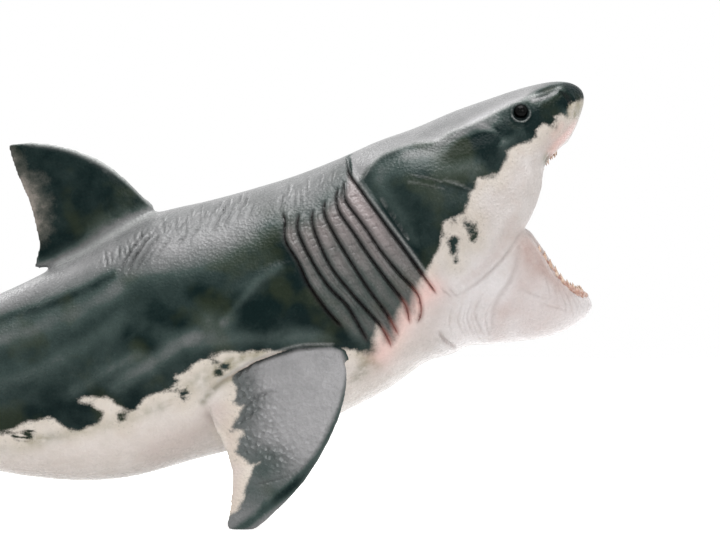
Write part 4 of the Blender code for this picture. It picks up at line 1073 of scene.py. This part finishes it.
ivory = Finish("ivory_teeth")
ivory_colour = ivory.ramp(ivory.noise(1.0, 4.0), [
    (0.3, linear(168, 134, 114)), (0.5, linear(198, 172, 152)), (0.75, linear(218, 204, 190))])
ivory_rough = ivory.between(ivory.noise(0.6), 0.3, 0.7, 0.2, 0.32)
ivory.coat(ivory_colour, ivory_rough, ivory.bump(ivory.noise(0.35), 0.05, 0.6))

gum_bead("upper_gum", UPPER_GUM, UPPER_POINTING, 1.35, 0.7, gum_paint)
gum_bead("lower_gum", LOWER_GUM, LOWER_POINTING, 1.1, 0.55, gum_paint)
tooth_row("upper_teeth", UPPER_GUM, UPPER_POINTING, 2.5, 2.2, 1.7, 1.2, ivory)
tooth_row("lower_teeth", LOWER_GUM, LOWER_POINTING, 1.9, 2.2, 1.7, 1.0, ivory)


# The tongue: a low mound on the floor of the mouth, moulded with it and painted pink.  It has
# a shallow groove down its middle, rises a little toward its tip, and is mostly hidden.
TONGUE_MIDDLE = (124.0, 0.0, 55.0)
TONGUE_HALF_SIZE = (14.0, 9.0, 3.6)
tongue_shape = bmesh.new()
bmesh.ops.create_uvsphere(tongue_shape, u_segments=48, v_segments=28, radius=1.0)
bmesh.ops.scale(tongue_shape, vec=Vector(TONGUE_HALF_SIZE) * MM, verts=tongue_shape.verts)
for corner in tongue_shape.verts:
    across = corner.co.y / (TONGUE_HALF_SIZE[1] * MM)
    corner.co.z -= 0.9 * MM * math.exp(-(across / 0.22) ** 2) * (corner.co.z > 0.0)
    corner.co.z += 0.10 * corner.co.x
bmesh.ops.translate(tongue_shape, vec=Vector(TONGUE_MIDDLE) * MM, verts=tongue_shape.verts)

tongue_paint = Finish("pink_tongue")
tongue_colour = tongue_paint.ramp(tongue_paint.noise(2.0, 4.0), [
    (0.3, linear(176, 104, 98)), (0.6, linear(204, 140, 130)), (0.8, linear(216, 160, 150))])
tongue_rough = tongue_paint.between(tongue_paint.noise(1.0), 0.3, 0.7, 0.25, 0.4)
tongue_paint.coat(tongue_colour, tongue_rough, tongue_paint.bump(tongue_paint.cells(0.6), 0.12, 0.7))
add_piece("tongue", mesh_from("tongue", tongue_shape), tongue_paint)


# The studio: a white floor that keeps a soft shadow, white all round, and large soft lamps.
# Floor and world look white where the camera or a reflection sees them, and light the shark less.
FLOOR_SIZE = 6.0
FLOOR_DROP = 0.02
FLOOR_LIFT = 0.66
WORLD_LIGHT = 0.45


def seen_by(tree, kinds):
    """1 for these kinds of ray, 0 for the light that falls on the shark."""
    rays = tree.nodes.new("ShaderNodeLightPath")
    seen = rays.outputs[kinds[0]]
    for kind in kinds[1:]:
        either = tree.nodes.new("ShaderNodeMath")
        either.operation = "MAXIMUM"
        tree.links.new(seen, either.inputs[0])
        tree.links.new(rays.outputs[kind], either.inputs[1])
        seen = either.outputs[0]
    return seen


floor_shape = bmesh.new()
bmesh.ops.create_grid(floor_shape, x_segments=1, y_segments=1, size=FLOOR_SIZE / 2.0)
floor = add_object("floor", mesh_from("floor", floor_shape))
floor.location.z = -FLOOR_DROP * MM
floor_paint = Finish("white_floor")
floor_paint.coat((0.86, 0.86, 0.86, 1.0), 0.9)
floor_paint.shader.inputs["Specular IOR Level"].default_value = 0.1
glow = floor_paint.tree.nodes.new("ShaderNodeEmission")
glow.inputs["Color"].default_value = (1.0, 1.0, 1.0, 1.0)
seen = seen_by(floor_paint.tree, ["Is Camera Ray", "Is Glossy Ray"])
floor_paint.feed(glow.inputs["Strength"], floor_paint.times(seen, FLOOR_LIFT))
both = floor_paint.tree.nodes.new("ShaderNodeAddShader")
floor_paint.feed(both.inputs[0], floor_paint.shader.outputs[0])
floor_paint.feed(both.inputs[1], glow.outputs[0])
floor_paint.feed(floor_paint.tree.nodes["Material Output"].inputs["Surface"], both.outputs[0])
floor.data.materials.append(floor_paint.material)

world = bpy.data.worlds.new("white_studio")
bpy.context.scene.world = world
world.use_nodes = True
sky = world.node_tree.nodes["Background"]
sky.inputs["Color"].default_value = (1.0, 1.0, 1.0, 1.0)
seen = seen_by(world.node_tree, ["Is Camera Ray", "Is Transmission Ray", "Is Glossy Ray"])
strength = world.node_tree.nodes.new("ShaderNodeMapRange")
strength.inputs["To Min"].default_value = WORLD_LIGHT
strength.inputs["To Max"].default_value = 1.0
world.node_tree.links.new(seen, strength.inputs["Value"])
world.node_tree.links.new(strength.outputs["Result"], sky.inputs["Strength"])

LAMPS = [
    ("top_softbox", (0.10, -0.10, 1.1), (0.06, 0.0, 0.06), 0.8, 13.0),
    ("front_softbox", (0.7, -1.1, 0.7), (0.09, 0.0, 0.06), 0.6, 4.5),
    ("rear_softbox", (-0.7, 0.9, 0.7), (0.0, 0.0, 0.06), 0.7, 5.0),
]
for label, where, aim, size, power in LAMPS:
    light = bpy.data.lights.new(label, "AREA")
    light.size = size
    light.energy = power
    lamp = add_object(label, light)
    lamp.location = where
    lamp.rotation_euler = (Vector(aim) - Vector(where)).to_track_quat("-Z", "Y").to_euler()


# The camera looks squarely at the shark's right side from table height.
VIEW_X = 87.85
VIEW_Z = 67.3
VIEW_DISTANCE = 1600.0
VIEW_WIDTH = 190.8
SENSOR_WIDTH = 36.0
camera_data = bpy.data.cameras.new("camera")
camera_data.sensor_width = SENSOR_WIDTH
camera_data.lens = SENSOR_WIDTH * VIEW_DISTANCE / VIEW_WIDTH
camera_data.clip_end = 20.0
camera = add_object("camera", camera_data)
camera.location = (VIEW_X * MM, -VIEW_DISTANCE * MM, VIEW_Z * MM)
camera.rotation_euler = (math.radians(90.0), 0.0, 0.0)
bpy.context.scene.camera = camera
bpy.context.scene.view_settings.view_transform = "Standard"
